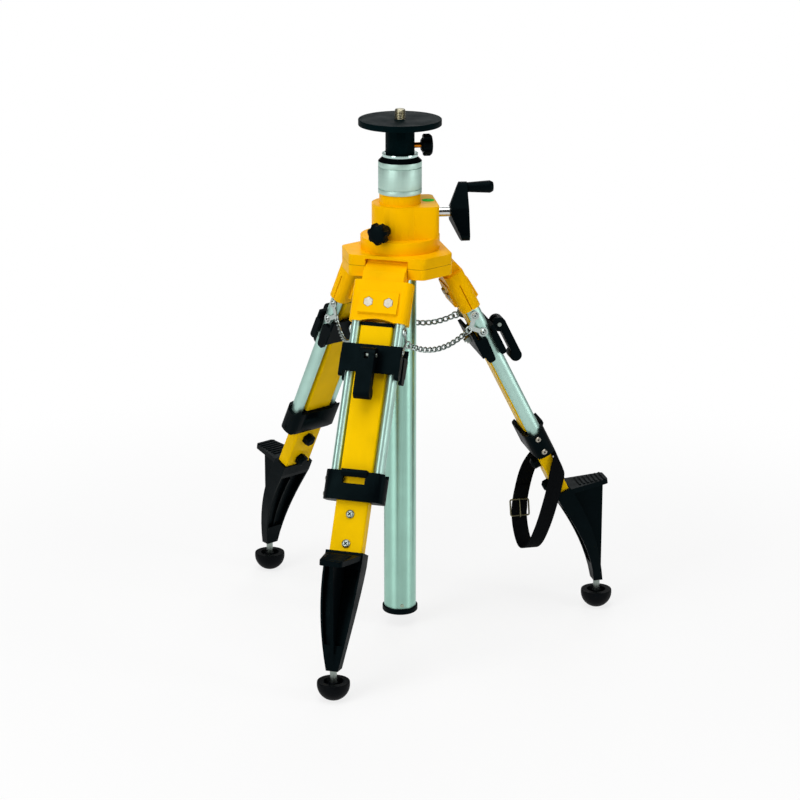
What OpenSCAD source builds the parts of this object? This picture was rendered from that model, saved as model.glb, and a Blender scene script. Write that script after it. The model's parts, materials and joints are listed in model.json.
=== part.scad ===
// Elevating tripod with a crank-driven centre column, three folding telescopic legs and a screw-top platform.
// Origin on the floor under the column axis, Z up, X along the crank shaft towards the crank arm.

/* [Head] */
// Height of the leg hinge pins above the floor
hinge_z = 566.5; // [540:0.5:600]
// Distance of the leg hinge pins from the column axis
hinge_r = 50; // [48:0.5:56]
// Direction of the first leg, measured from the crank shaft
leg_turn = 5; // [0:1:20]
// Thickness of each of the two head plates
plate_h = 15.5; // [13:0.5:20]
// Reach of the head plates beyond the hinge pins
plate_lip = 15; // [12:0.5:20]
// Length of the head plate's side above each leg
plate_side = 112; // [106:1:120]
// Radius of the head plate's upright edges
plate_round = 10; // [4:1:14]
// Width of the slot in the head for each leg
slot_w = 64; // [54:1:68]
// Diameter of the hinge pins
pin_d = 10; // [8:0.5:12]

/* [Gear housing] */
// Diameter of the housing's base flange
flange_d = 115; // [106:1:124]
// Thickness of the housing's base flange
flange_h = 18.7; // [14:0.1:24]
// Diameter of the housing's round body
body_d = 82; // [76:1:90]
// Height of the housing's body above its flange
body_h = 47.3; // [44:0.1:56]
// Reach of the squared crank side from the column axis
box_reach = 53; // [48:1:58]
// Reach of the squared crank side towards the front
box_front = 38; // [34:1:40]
// Diameter of the boss under the guide collar
boss_d = 60; // [57:0.5:66]
// Height of the boss under the guide collar
boss_h = 14.8; // [10:0.1:20]
// Height of the crank shaft above the base flange
crank_rise = 24.3; // [20:0.1:28]
// Diameter of the circular spirit level
level_d = 16; // [12:0.5:18]

/* [Column] */
// Outer diameter of the column tube
column_d = 48; // [46:0.5:49]
// Wall of the column tube
column_wall = 2.5; // [2:0.1:3]
// Gap between the floor and the column's end cap
column_gap = 19; // [10:1:40]
// Height that the column can be raised
column_travel = 400; // [300:5:420]
// Diameter of the end cap under the column
cap_d = 53; // [50:0.5:56]
// Visible height of the end cap
cap_h = 9; // [6:0.5:14]
// Diameter of the guide collar
guide_d = 63; // [60:0.5:68]
// Height of the guide collar
guide_h = 46.8; // [36:0.1:56]
// Height of the wiper ring
wiper_h = 6.4; // [5:0.1:9]
// Diameter of the flange on the column's top plug
plug_d = 52; // [50:0.5:56]
// Height of the flange on the column's top plug
plug_h = 4.5; // [3.5:0.1:7]

/* [Rack and crank] */
// Gear module of the rack and pinion
gear_m = 1.5; // [1.3:0.1:1.6]
// Teeth on the pinion
pinion_teeth = 14; // [13:1:15]
// Width of the rack strip
rack_w = 10; // [8:0.5:11]
// Depth of the rack's pitch line under the tube surface
rack_sink = 4; // [3.8:0.1:4.4]
// Diameter of the crank shaft outside the housing
shaft_d = 15; // [13:0.5:16]
// Distance from the column axis to the crank arm's outer face
arm_x = 104; // [100:1:112]
// Length of the crank arm from the shaft to either end
arm_reach = 44; // [38:1:48]
// Thickness of the crank arm at its hub
arm_hub = 27; // [22:0.5:29]
// Thickness of the crank arm at its ends
arm_end = 12; // [8:0.5:14]
// Lean of the crank arm away from upright
arm_lean = 25; // [0:5:60]
// Length of the crank grip
grip_len = 39; // [32:1:48]
// Largest diameter of the crank grip
grip_d = 18.5; // [16:0.5:20]

/* [Platform] */
// Diameter of the platform
platform_d = 120; // [110:1:140]
// Thickness of the platform
platform_h = 9; // [6:0.5:12]
// Diameter of the hub under the platform
hub_d = 42; // [40:0.5:48]
// Height of the hub under the platform
hub_h = 40.5; // [36:0.5:48]
// Diameter of the mounting screw, five eighths of an inch
stud_d = 15.875; // [15:0.125:16]
// Height of the mounting screw above the platform
stud_h = 14; // [10:0.5:18]

/* [Star knobs] */
// Diameter of the star knobs over their lobes
knob_d = 32; // [28:0.5:33]
// Lobes on each star knob
knob_lobes = 7; // [5:1:8]
// Thickness of the star knobs
knob_h = 14; // [11:0.5:16]
// Diameter of the star knobs' screws
knob_screw_d = 8; // [6:0.5:9]

/* [Outer legs] */
// Lean of the spread legs from upright
leg_tilt = 26.5; // [22:0.5:28]
// Offset of the leg's middle plane outside the hinge pins
leg_t = 10; // [9:0.5:12]
// Width of each outer tube
tube_w = 14; // [12:0.5:14.5]
// Depth of each outer tube
tube_d = 25; // [23:0.5:26]
// Wall of each outer tube
tube_wall = 1.6; // [1.2:0.1:2]
// Distance from the hinge to the lower end of the outer tubes
tube_end = 340; // [330:1:342]
// Width of the leg bracket
bracket_w = 87; // [84:0.5:90]
// Distance from the hinge to the bracket's lower edge
bracket_end = 88; // [82:0.5:92]
// Distance from the hinge to the bracket's shoulders
shoulder_s = 28; // [26:0.5:34]
// Width of the lower collar and of the clamp
collar_w = 90; // [88:0.5:96]
// Distance from the hinge to the lower collar's top edge
collar_top = 304; // [300:1:310]
// Distance from the hinge to the lower collar's bottom edge
collar_end = 346; // [344:1:360]
// Diameter of the rivet heads
rivet_d = 9; // [7:0.5:9.5]

/* [Inner legs] */
// Width of the inner leg
inner_w = 48; // [44:0.5:49]
// Depth of the inner leg
inner_d = 20; // [18:0.5:21]
// Wall of the inner leg
inner_wall = 2; // [1.5:0.1:2.5]
// Distance from the hinge to the inner leg's top
inner_top = 94; // [92:1:110]
// Distance from the hinge to the clamp bolt
clamp_s = 139; // [138:0.5:146]
// Thickness of the clamp plates
clamp_h = 5.5; // [4.5:0.5:7]
// Width of the clamp lever
lever_w = 24; // [20:0.5:28]
// Length of the clamp lever below its pin
lever_len = 64; // [58:1:76]
// Radius of the clamp lever's head
lever_r = 10.5; // [9.5:0.5:12]

/* [Feet] */
// Length of the foot from its top edge to its tip
foot_len = 165; // [150:1:170]
// Half width of the foot at its top
foot_top_w = 28; // [27:0.5:30]
// Half width of the foot at its tip
foot_tip_w = 8.5; // [8:0.5:11]
// Height of the foot's tip above the floor
tip_z = 44; // [40:0.5:50]
// Length of the step plate
step_len = 65; // [56:1:70]
// Rise of the step plate's outer end, in degrees
step_rise = 9; // [4:1:12]
// Thickness of the step plate
step_h = 7.5; // [5:0.5:9]
// Grip ribs on the step plate
step_ribs = 7; // [3:1:8]
// Diameter of the levelling stud in each foot
foot_stud_d = 10; // [8:0.5:10.5]
// Radius of the rubber ball foot
ball_r = 23.5; // [20:0.5:26]
// Height of the rubber ball foot
ball_h = 27; // [23:0.5:30]

/* [Chains and strap] */
// Sag of each spreader chain
chain_sag = 17; // [12:1:22]
// Links in each spreader chain
chain_links = 13; // [11:2:15]
// Wire diameter of the chain links
chain_wire = 2.2; // [1.8:0.1:2.4]
// Width of the carrying strap
strap_w = 24; // [16:1:30]
// Thickness of the carrying strap
strap_h = 2; // [1.5:0.1:2.5]

/* [Hidden] */
$fn = 48;
// Gap between pieces that move against each other
clear = 0.3;
// Gap between pieces that are fixed together
seat = 0.05;
// Gap in a bore that turns on its pin
run = 0.1;
cut = 1;

// Levels of the head and column
plate_gap = 0.4;
slot_lift = 10.6;
knuckle_r = 10;
slot_in = hinge_r - knuckle_r - 1.5;
z_under = hinge_z - plate_h;
z_plate = hinge_z + plate_h;
z_flange = z_plate + flange_h;
z_body = z_flange + body_h;
z_boss = z_body + boss_h;
z_guide = z_boss + guide_h;
z_wiper = z_guide + wiper_h;
z_plug = z_wiper + clear;
z_hub = z_plug + plug_h;
z_platform = z_hub + hub_h;
z_top = z_platform + platform_h;
column_r = column_d / 2;
slide_r = column_r + clear;
sleeve_r = column_r + 3.4;
level_at = [box_reach - level_d / 2 - 3, 8];
level_in = 6;

// Head plate outline
plate_edge = hinge_r + plate_lip;
plate_short = plate_edge * cos(60) + plate_side / 2 * sin(60);
corner_x = plate_edge - plate_round;
corner_y = (plate_short - plate_round - corner_x * cos(60)) / sin(60);
pin_len = slot_w + 36;
bolt_r = flange_d / 2 - 5.5;
bolt_in = 10;
bolt_d = 6;
bolt_head_r = 8;
bolt_head_h = 4;
lower_bush_r = column_r + 5;
lower_bush_h = 4;
bush_flange_r = slot_in - 2;

// Rack and pinion
pressure = 20;
backlash = 0.12;
gear_pitch = PI * gear_m;
pinion_r = gear_m * pinion_teeth / 2;
pinion_tip = pinion_r + gear_m;
rack_tip = 0.8 * gear_m;
rack_root = 1.25 * gear_m;
rack_y = column_r - rack_sink;
rack_back = 7;
crank_y = rack_y + pinion_r;
crank_z = z_flange + crank_rise;
rack_low = ceil((column_travel + 14) / gear_pitch);
rack_high = 3;
rack_foot = crank_z - (rack_low + 0.5) * gear_pitch - 3;
rack_head = crank_z + (rack_high + 0.5) * gear_pitch + 3;
tooth_half = gear_pitch / 4 - backlash;
neck_d = 12;
pocket_r = pinion_tip + 1.5;
pad_y = crank_y + pocket_r + 4;
pad_x = -24;
bush_wall = 3;
bush_l = 10;
bush_r = 15;
arm_tip_r = 8.5;
arm_hub_r = 14;
shaft_end = arm_x - 4;
grip_pin_d = 7;
grip_at = arm_reach - arm_tip_r;

// Star knobs
scallop_r = knob_d * 0.156;
scallop_at = knob_d * 0.54;
knob_edge = 1.5;
knob_dome = 4;
knob_bore = knob_h - 4;
hub_knob_z = z_hub + 10.5;
hub_floor = 8;
stud_head_d = stud_d + 6;
stud_head_h = 4;
stud_neck = stud_d - 0.5;
stud_tip = 1.5;
spigot_r = 15;
knob_neck = 9;
lock_z = z_flange + 14.3;
lock_turn = 235;
lock_x = flange_d / 2 + 3;
hub_knob_x = hub_d / 2 + knob_neck + 3;

// Outer leg
bracket_t0 = leg_t - tube_d / 2 - 2.5;
bracket_t1 = leg_t + tube_d / 2 + 2.5;
bracket_round = 11;
tongue_w = slot_w - 2;
tube_v = inner_w / 2 + 1 + tube_w / 2;
tube_side = tube_v + tube_w / 2;
tube_top = shoulder_s + 6;
tube_round = tube_w / 2 - 0.2;
pad_w = 58;
pad_s0 = shoulder_s + 17;
pad_s1 = bracket_end - 12;
pad_h = 4.5;
bracket_bolt_s = (pad_s0 + pad_s1) / 2;
bracket_bolt_v = 15;
bracket_bolt_d = 6;
hex_d = 12.5;
arch_w = 50;
arch_h = 4;
arch_r = (arch_w * arch_w / 4 + arch_h * arch_h) / (2 * arch_h);
slit_w = 1.4;
slit_h = 3.5;
collar_t0 = leg_t - tube_d / 2 - 4.5;
collar_t1 = leg_t + tube_d / 2 + 4.5;
bridge_t = collar_t1 + 4;
collar_rivets = [collar_top + 12, collar_end - 8];
eye_rivets = [98, 126.5];
eye_h = 1.6;
eye_r = 6.8;
eye_bar = 3.2;
eye_apex = [-3.3, -112];
eye_side = tube_side + seat + eye_h / 2;
ring_r = 4.7;
ring_wire = 1.3;
rivet_shank = 4.8;
rivet_h = 1.8;
rivet_hole = 3;

// Inner leg, clamp and lever
inner_round = 3;
inner_t0 = leg_t - inner_d / 2;
inner_t1 = leg_t + inner_d / 2;
tube_t0 = leg_t - tube_d / 2;
tube_t1 = leg_t + tube_d / 2;
clamp_t0 = tube_t0 - clear - clamp_h;
clamp_t1 = tube_t1 + clear + clamp_h;
clamp_up = 17;
clamp_down = 23;
wing_up = 5;
wing_down = 31;
wing_rear_down = 34;
wing_rear_end = [-9.5, -5.5];
wing_split = 0.8;
wing_gap = 7.5;
wing_r = 4;
wing_edge = tube_d / 2 + clear + clamp_h;
eye_w = 6;
clamp_bolt_d = eye_w;
fork_w = eye_w + 2 * clear;
lever_pin_d = 6;
lever_t = clamp_t1 + clear + lever_r;

// Foot, placed so that its tip stands on the stud line
tip_t = leg_t - 12.3;
tip_s = (hinge_z - tip_z + tip_t * sin(leg_tilt)) / cos(leg_tilt);
foot_s = tip_s - foot_len;
inner_end = foot_s + 14;
plug_top = foot_s - 65;
screw_s = [foot_s - 53, foot_s - 11];
screw_d = 5;
screw_head_d = 12;
screw_head_h = 3.4;
screw_nut_d = 17;
screw_nut_h = 9;
screw_nut_cap = 3;
tip_r = 7.2;
web_x = 6;
web_h = 5;
floor_h = 4;
stud_in = 24;
ball_flat = 1.2;
ball_cup = 6;
ball_cup_r = 14.5;

// Chains, and the rings of their eyes turned so that the chains pull in the rings' plane
eye_reach = hinge_r + eye_apex[0] * cos(leg_tilt) - eye_apex[1] * sin(leg_tilt);
chain_span = 2 * (eye_reach * sin(60) - eye_side * sin(30));
chain_slope = 4 * chain_sag / chain_span;
ring_turn = atan2(sin(30), cos(30) * cos(leg_tilt) + chain_slope * sin(leg_tilt));
ring_t = eye_apex[0] - ring_r * cos(ring_turn);
ring_v = eye_side + ring_r * sin(ring_turn);
link_gap = 0.4;
link_r = 1.6 + chain_wire / 2;

// Points at an offset from the foot's tip, measured outwards and upwards on the standing tripod
function from_tip(x, z) = [
    tip_t + x * cos(leg_tilt) + z * sin(leg_tilt),
    -tip_s - x * sin(leg_tilt) + z * cos(leg_tilt)
];

// Cubic curve through its first and last control points
function bezier(p, u) = pow(1 - u, 3) * p[0] + 3 * pow(1 - u, 2) * u * p[1]
    + 3 * (1 - u) * u * u * p[2] + pow(u, 3) * p[3];
function curve(p, n, a = 0, b = 1) = [for (i = [0 : n]) bezier(p, a + (b - a) * i / n)];

// A point in leg coordinates, brought to the standing tripod
function leg_point(n, t, v, s) = let (
    r = hinge_r + t * cos(leg_tilt) + s * sin(leg_tilt),
    z = hinge_z + t * sin(leg_tilt) - s * cos(leg_tilt),
    a = leg_turn + 120 * (n - 1)
) [r * cos(a) - v * sin(a), r * sin(a) + v * cos(a), z];

// Rounded outline of a convex polygon, from the centres of its corner arcs in anticlockwise order
module round_poly(c, r) {
    n = len(c);
    polygon(c);
    for (i = [0 : n - 1]) {
        next = c[(i + 1) % n];
        d = next - c[i];
        out = r * [d[1], -d[0]] / norm(d);
        translate(c[i]) circle(r);
        polygon([c[i], c[i] + out, next + out, next]);
    }
}

// Rounded rectangle between two corners
module round_rect(x0, x1, y0, y1, r) {
    round_poly([[x0 + r, y0 + r], [x1 - r, y0 + r], [x1 - r, y1 - r], [x0 + r, y1 - r]], r);
}

// Straight bar with round ends
module bar(p, q, r) {
    d = q - p;
    out = r * [d[1], -d[0]] / norm(d);
    translate(p) circle(r);
    translate(q) circle(r);
    polygon([p - out, p + out, q + out, q - out]);
}

// Points of an arc about c
function arc(c, r, from, to, n) = [for (i = [0 : n]) let (a = from + (to - from) * i / n)
    c + r * [cos(a), sin(a)]];

// Bar along Y that narrows from a round middle to two round ends at a distance l
module taper_bar(r1, r2, l) {
    a = asin((r1 - r2) / l);
    polygon(concat(arc([0, l], r2, a, 180 - a, 24), arc([0, 0], r1, 180 - a, 180 + a, 4),
        arc([0, -l], r2, 180 + a, 360 - a, 24), arc([0, 0], r1, -a, a, 4)));
}

// Extrude an outline drawn in X and Z along Y, centred
module along_y(l) {
    rotate([90, 0, 0]) translate([0, 0, -l / 2]) linear_extrude(l) children();
}

// Extrude an outline drawn in Y and Z along X, from x0 to x1
module along_x(x0, x1) {
    translate([x0, 0, 0]) rotate([90, 0, 90]) linear_extrude(x1 - x0) children();
}

// Cylinder along X from x0 to x1
module rod_x(d, x0, x1) {
    translate([x0, 0, 0]) rotate([0, 90, 0]) cylinder(d = d, h = x1 - x0);
}

// Cylinder along Y, centred
module rod_y(d, l) {
    rotate([90, 0, 0]) cylinder(d = d, h = l, center = true);
}

// Hexagonal prism along X, sized across its flats
module hex_x(flats, x0, x1) {
    translate([x0, 0, 0]) rotate([0, 90, 0]) cylinder(d = flats / cos(30), h = x1 - x0, $fn = 6);
}

// Leg coordinates: X across the leg and outwards, Y to the side, Z up the leg, from the hinge pin
module on_leg(n) {
    rotate([0, 0, leg_turn + 120 * (n - 1)]) translate([hinge_r, 0, hinge_z])
        rotate([0, -leg_tilt, 0]) children();
}

// Upright coordinates at the foot's tip, inside leg coordinates
module at_tip() {
    translate([tip_t, 0, -tip_s]) rotate([0, leg_tilt, 0]) children();
}

// Outline shared by the two head plates
module plate_outline() {
    rotate(leg_turn) round_poly([for (k = [0 : 2]) for (side = [-1, 1])
        let (a = 120 * k, y = side * corner_y)
        [corner_x * cos(a) - y * sin(a), corner_x * sin(a) + y * cos(a)]], plate_round);
}

// Grooves for the hinge pins and holes for the head bolts
module plate_holes() {
    for (k = [0 : 2]) rotate([0, 0, leg_turn + 120 * k]) {
        translate([hinge_r, 0, hinge_z]) rod_y(pin_d + 2 * seat, pin_len + 2 * seat);
        rotate([0, 0, 60]) translate([bolt_r, 0, z_under - cut])
            cylinder(d = bolt_d + 2 * seat, h = 2 * plate_h + 2 * cut);
    }
}

// Openings for the three legs, from z0 to z1
module leg_slots(z0, z1) {
    for (k = [0 : 2]) rotate([0, 0, leg_turn + 120 * k])
        translate([slot_in, -slot_w / 2, z0]) cube([plate_edge, slot_w, z1 - z0]);
}

module top_plate() {
    color("gold") difference() {
        translate([0, 0, hinge_z + plate_gap / 2]) linear_extrude(plate_h - plate_gap / 2) plate_outline();
        leg_slots(hinge_z - cut, hinge_z + slot_lift);
        plate_holes();
        translate([0, 0, z_under]) cylinder(r = lower_bush_r + seat, h = 2 * plate_h + cut);
    }
}

module bottom_plate() {
    color("gold") difference() {
        translate([0, 0, z_under]) linear_extrude(plate_h - plate_gap / 2) plate_outline();
        leg_slots(z_under - cut, hinge_z + cut);
        plate_holes();
        translate([0, 0, z_under - cut]) cylinder(r = lower_bush_r + seat, h = plate_h + 2 * cut);
    }
}

module lower_bush() {
    sleeve = 2 * plate_h - 1;
    color("dimgray") translate([0, 0, z_under]) difference() {
        union() {
            cylinder(r = lower_bush_r, h = sleeve);
            translate([0, 0, -lower_bush_h]) cylinder(r = bush_flange_r, h = lower_bush_h);
        }
        translate([0, 0, -lower_bush_h - cut]) cylinder(r = slide_r, h = sleeve + lower_bush_h + 2 * cut);
    }
}

module head_bolts() {
    color("dimgray") for (k = [0 : 2]) rotate([0, 0, leg_turn + 60 + 120 * k])
        translate([bolt_r, 0, z_under]) {
            translate([0, 0, -bolt_head_h]) cylinder(r1 = bolt_head_r - 1, r2 = bolt_head_r, h = bolt_head_h);
            cylinder(d = bolt_d, h = 2 * plate_h + bolt_in - seat);
        }
}

module hinge_pins() {
    color("silver") for (k = [0 : 2]) rotate([0, 0, leg_turn + 120 * k]) translate([hinge_r, 0, hinge_z])
        rod_y(pin_d, pin_len);
}

// Plan of the housing body: round at the left, squared towards the crank, deep at the back for the pinion
module housing_plan() {
    circle(d = body_d, $fn = 96);
    round_rect(0, box_reach, -box_front, pad_y, 9);
    round_rect(pad_x, box_reach, 0, pad_y, 9);
}

module gear_housing() {
    color("gold") difference() {
        union() {
            translate([0, 0, z_plate]) cylinder(d = flange_d, h = flange_h, $fn = 96);
            translate([0, 0, z_flange]) linear_extrude(body_h) housing_plan();
            translate([0, 0, z_body]) cylinder(d = boss_d, h = boss_h, $fn = 96);
        }
        translate([0, 0, z_plate - cut]) cylinder(r = column_r + 1.5, h = z_boss - z_plate + 2 * cut);
        translate([0, 0, z_body - cut]) cylinder(r = sleeve_r + seat, h = boss_h + 2 * cut);
        translate([0, crank_y, crank_z]) {
            rod_x(2 * pocket_r, pad_x + bush_l + 2, box_reach - bush_r);
            rod_x(neck_d + 2 * bush_wall + 2 * seat, pad_x + 2, 0);
            rod_x(shaft_d + 2 * bush_wall + 2 * seat, box_reach - bush_r - cut, box_reach + cut);
        }
        translate([0, 0, lock_z]) rotate([0, 0, lock_turn])
            rod_x(knob_screw_d + 2 * run, column_r, body_d / 2 + cut);
        translate([level_at[0], level_at[1], z_body - level_in])
            cylinder(d = level_d + 2 * seat, h = level_in + cut);
        for (k = [0 : 2]) rotate([0, 0, leg_turn + 60 + 120 * k]) translate([bolt_r, 0, z_plate - cut])
            cylinder(d = bolt_d + 2 * seat, h = bolt_in + cut);
    }
}

module level_vial() {
    color("limegreen") translate([level_at[0], level_at[1], z_body - level_in]) {
        cylinder(d = level_d, h = level_in);
        translate([0, 0, level_in]) cylinder(d1 = level_d - 1, d2 = level_d - 4, h = 1.2);
    }
}

module guide_collar() {
    groove = 1;
    color("lightgray") difference() {
        union() {
            translate([0, 0, z_boss]) cylinder(d = guide_d, h = guide_h, $fn = 96);
            translate([0, 0, z_body]) cylinder(r = sleeve_r, h = boss_h + cut);
        }
        translate([0, 0, z_body - cut]) cylinder(r = slide_r, h = boss_h + guide_h + 2 * cut);
        for (z = [z_boss + 7.2, z_guide - 8.3]) translate([0, 0, z]) difference() {
            cylinder(d = guide_d + 2, h = groove, center = true);
            cylinder(d = guide_d - 1.6, h = groove + cut, center = true);
        }
    }
}

module wiper_ring() {
    color("dimgray") translate([0, 0, z_guide]) difference() {
        cylinder(d1 = guide_d, d2 = column_d + 2, h = wiper_h, $fn = 96);
        translate([0, 0, -cut]) cylinder(r = slide_r, h = wiper_h + 2 * cut);
    }
}

module column_tube() {
    z0 = column_gap + cap_h;
    color("lightgray") difference() {
        translate([0, 0, z0]) cylinder(d = column_d, h = z_plug - z0, $fn = 96);
        translate([0, 0, z0 - cut]) cylinder(d = column_d - 2 * column_wall, h = z_plug - z0 + 2 * cut);
        translate([-rack_w / 2 - seat, 0, rack_foot - seat])
            cube([rack_w + 2 * seat, column_d, rack_head - rack_foot + 2 * seat]);
    }
}

// Toothed strip: the teeth stand out of the column's slot by less than the tube wall
module column_rack() {
    root = rack_y - rack_root;
    tip = rack_y + rack_tip;
    spread = tan(pressure);
    teeth = [for (k = [-rack_low : rack_high]) let (z = crank_z + (k + 0.5) * gear_pitch)
        for (p = [[root, -tooth_half - rack_root * spread], [tip, -tooth_half + rack_tip * spread],
            [tip, tooth_half - rack_tip * spread], [root, tooth_half + rack_root * spread]])
        [p[0], z + p[1]]];
    color("silver") along_x(-rack_w / 2, rack_w / 2) polygon(concat(
        [[root - rack_back, rack_foot], [root, rack_foot]], teeth,
        [[root, rack_head], [root - rack_back, rack_head]]));
}

module column_plug() {
    color("lightgray") {
        translate([0, 0, z_plug]) cylinder(d = plug_d, h = plug_h, $fn = 96);
        translate([0, 0, z_hub - cut]) cylinder(r = spigot_r, h = hub_h - hub_floor);
        translate([0, 0, z_plug - 20]) cylinder(d = column_d - 2 * column_wall - 2 * seat, h = 20 + cut);
    }
}

module column_cap() {
    edge = 1.5;
    color("dimgray") translate([0, 0, column_gap]) {
        cylinder(d1 = cap_d - 2 * edge, d2 = cap_d, h = edge);
        translate([0, 0, edge]) cylinder(d = cap_d, h = cap_h - edge);
        cylinder(d = column_d - 2 * column_wall - 2 * seat, h = cap_h + 22);
    }
}

// Pinion outline with involute flanks, one tooth pointing along -X
module pinion_outline() {
    base = pinion_r * cos(pressure);
    root = pinion_r - rack_root;
    half = tooth_half / pinion_r * 180 / PI + tan(pressure) * 180 / PI - pressure;
    radii = [root, base, (base + pinion_r) / 2, pinion_r, (pinion_r + pinion_tip) / 2, pinion_tip];
    flank = [for (r = radii) let (a = acos(min(1, base / r))) [r, half - tan(a) * 180 / PI + a]];
    rear = [for (i = [len(flank) - 1 : -1 : 0]) flank[i]];
    polygon([for (k = [0 : pinion_teeth - 1]) let (c = 180 + 360 * k / pinion_teeth)
        for (p = concat([for (f = flank) [f[0], c - f[1]]], [for (f = rear) [f[0], c + f[1]]]))
        p[0] * [cos(p[1]), sin(p[1])]]);
}

module crank_shaft() {
    pinion_w = rack_w - 1;
    step = 26;
    color("silver") translate([0, crank_y, crank_z]) {
        rod_x(neck_d, pad_x + 3, step);
        rod_x(shaft_d, step, shaft_end);
        along_x(-pinion_w / 2, pinion_w / 2) pinion_outline();
    }
}

module crank_bushes() {
    color("peru") translate([0, crank_y, crank_z]) {
        difference() {
            rod_x(neck_d + 2 * bush_wall, pad_x + 2, pad_x + 2 + bush_l);
            rod_x(neck_d + 2 * run, pad_x, pad_x + 4 + bush_l);
        }
        difference() {
            rod_x(shaft_d + 2 * bush_wall, box_reach - bush_r, box_reach);
            rod_x(shaft_d + 2 * run, box_reach - bush_r - cut, box_reach + cut);
        }
    }
}

// Coordinates of the crank arm: Z along the arm towards the grip
module on_arm() {
    translate([0, crank_y, crank_z]) rotate([-arm_lean, 0, 0]) children();
}

// Double-ended arm, flat outside and swelling inwards to its hub
module crank_arm() {
    inner = arm_x - arm_hub;
    color("dimgray") on_arm() difference() {
        intersection() {
            along_x(inner, arm_x) taper_bar(arm_hub_r, arm_tip_r, grip_at);
            along_y(4 * arm_hub_r) polygon([[arm_x, arm_reach], [arm_x - arm_end, arm_reach], [inner, 9],
                [inner, -9], [arm_x - arm_end, -arm_reach], [arm_x, -arm_reach]]);
        }
        rod_x(shaft_d + 2 * seat, inner - cut, shaft_end);
        translate([0, 0, grip_at]) rod_x(grip_pin_d + 2 * seat, arm_x - arm_end, arm_x + cut);
    }
    color("silver") on_arm() translate([0, 0, grip_at])
        rod_x(grip_pin_d, arm_x - arm_end, arm_x + grip_len - 4);
}

module crank_grip() {
    x0 = arm_x + clear;
    color("dimgray") on_arm() translate([x0, 0, grip_at]) rotate([0, 90, 0]) difference() {
        union() {
            cylinder(d1 = grip_d - 4, d2 = grip_d, h = grip_len - 5);
            translate([0, 0, grip_len - 5]) cylinder(d1 = grip_d, d2 = grip_d - 5, h = 5);
        }
        translate([0, 0, -cut]) cylinder(d = grip_pin_d + 2 * run, h = grip_len - 3);
    }
}

module platform_plate() {
    edge = 0.6;
    rim = platform_d / 2;
    color("dimgray") translate([0, 0, z_platform]) difference() {
        rotate_extrude($fn = 128) polygon([[0, 0], [rim - edge, 0], [rim, edge], [rim, platform_h - edge],
            [rim - edge, platform_h], [0, platform_h]]);
        translate([0, 0, -cut]) cylinder(d = stud_d + 2 * clear, h = platform_h + 2 * cut);
    }
}

module platform_hub() {
    color("dimgray") difference() {
        translate([0, 0, z_hub]) cylinder(d = hub_d, h = hub_h, $fn = 96);
        translate([0, 0, z_hub - cut]) cylinder(r = spigot_r + run, h = hub_h - hub_floor + cut);
        translate([0, 0, z_platform - stud_head_h - seat])
            cylinder(d = stud_head_d + 2 * seat, h = stud_head_h + seat + cut);
        translate([0, 0, hub_knob_z]) rod_x(knob_screw_d + 2 * run, 0, hub_d);
    }
}

module mount_stud() {
    color("tan") translate([0, 0, z_platform]) {
        translate([0, 0, -stud_head_h]) cylinder(d = stud_head_d, h = stud_head_h);
        translate([0, 0, -cut]) cylinder(d = stud_neck, h = platform_h + 2 * cut);
        translate([0, 0, platform_h]) cylinder(d = stud_d, h = stud_h - stud_tip);
        translate([0, 0, platform_h + stud_h - stud_tip])
            cylinder(d1 = stud_d, d2 = stud_d - 2 * stud_tip, h = stud_tip);
    }
}

// Star knob along X with its back at the origin: a domed disc with scallops, on a stepped neck
module star_knob(neck_l) {
    rim = knob_d / 2;
    color("dimgray") difference() {
        union() {
            rotate([0, 90, 0]) rotate_extrude() polygon([[0, 0], [rim - knob_edge, 0], [rim, knob_edge],
                [rim, knob_h - knob_dome], [rim - 0.7 * knob_dome, knob_h - 0.25 * knob_dome],
                [rim - 2 * knob_dome, knob_h], [0, knob_h]]);
            rod_x(2 * knob_screw_d, -neck_l, cut);
            rod_x(2.5 * knob_screw_d, -neck_l / 2, cut);
        }
        for (k = [0 : knob_lobes - 1]) rotate([360 * k / knob_lobes, 0, 0]) translate([0, 0, scallop_at])
            rod_x(2 * scallop_r, -cut, knob_h + cut);
        rod_x(knob_screw_d + 2 * seat, -neck_l - cut, knob_bore);
    }
}

// Screw moulded into a star knob, reaching from the knob's back to x0
module knob_screw(x0) {
    color("tan") rod_x(knob_screw_d, x0, knob_bore - clear);
}

module platform_knob() {
    translate([hub_knob_x, 0, hub_knob_z]) star_knob(3);
}

module platform_knob_screw() {
    translate([hub_knob_x, 0, hub_knob_z]) knob_screw(spigot_r + clear - hub_knob_x);
}

// Coordinates of the knob that locks the column, from the knob's back
module on_lock() {
    translate([0, 0, lock_z]) rotate([0, 0, lock_turn]) translate([lock_x, 0, 0]) children();
}

module lock_knob() {
    on_lock() star_knob(lock_x - body_d / 2 - 2);
}

module lock_knob_screw() {
    on_lock() knob_screw(slide_r + clear - lock_x);
}

// Outline of the outer tubes in plan, grown by a clearance
module tube_plan(grow) {
    for (side = [-1, 1]) round_rect(tube_t0 - grow, tube_t1 + grow, side * tube_v - tube_w / 2 - grow,
        side * tube_v + tube_w / 2 + grow, tube_round + grow);
}

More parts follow.
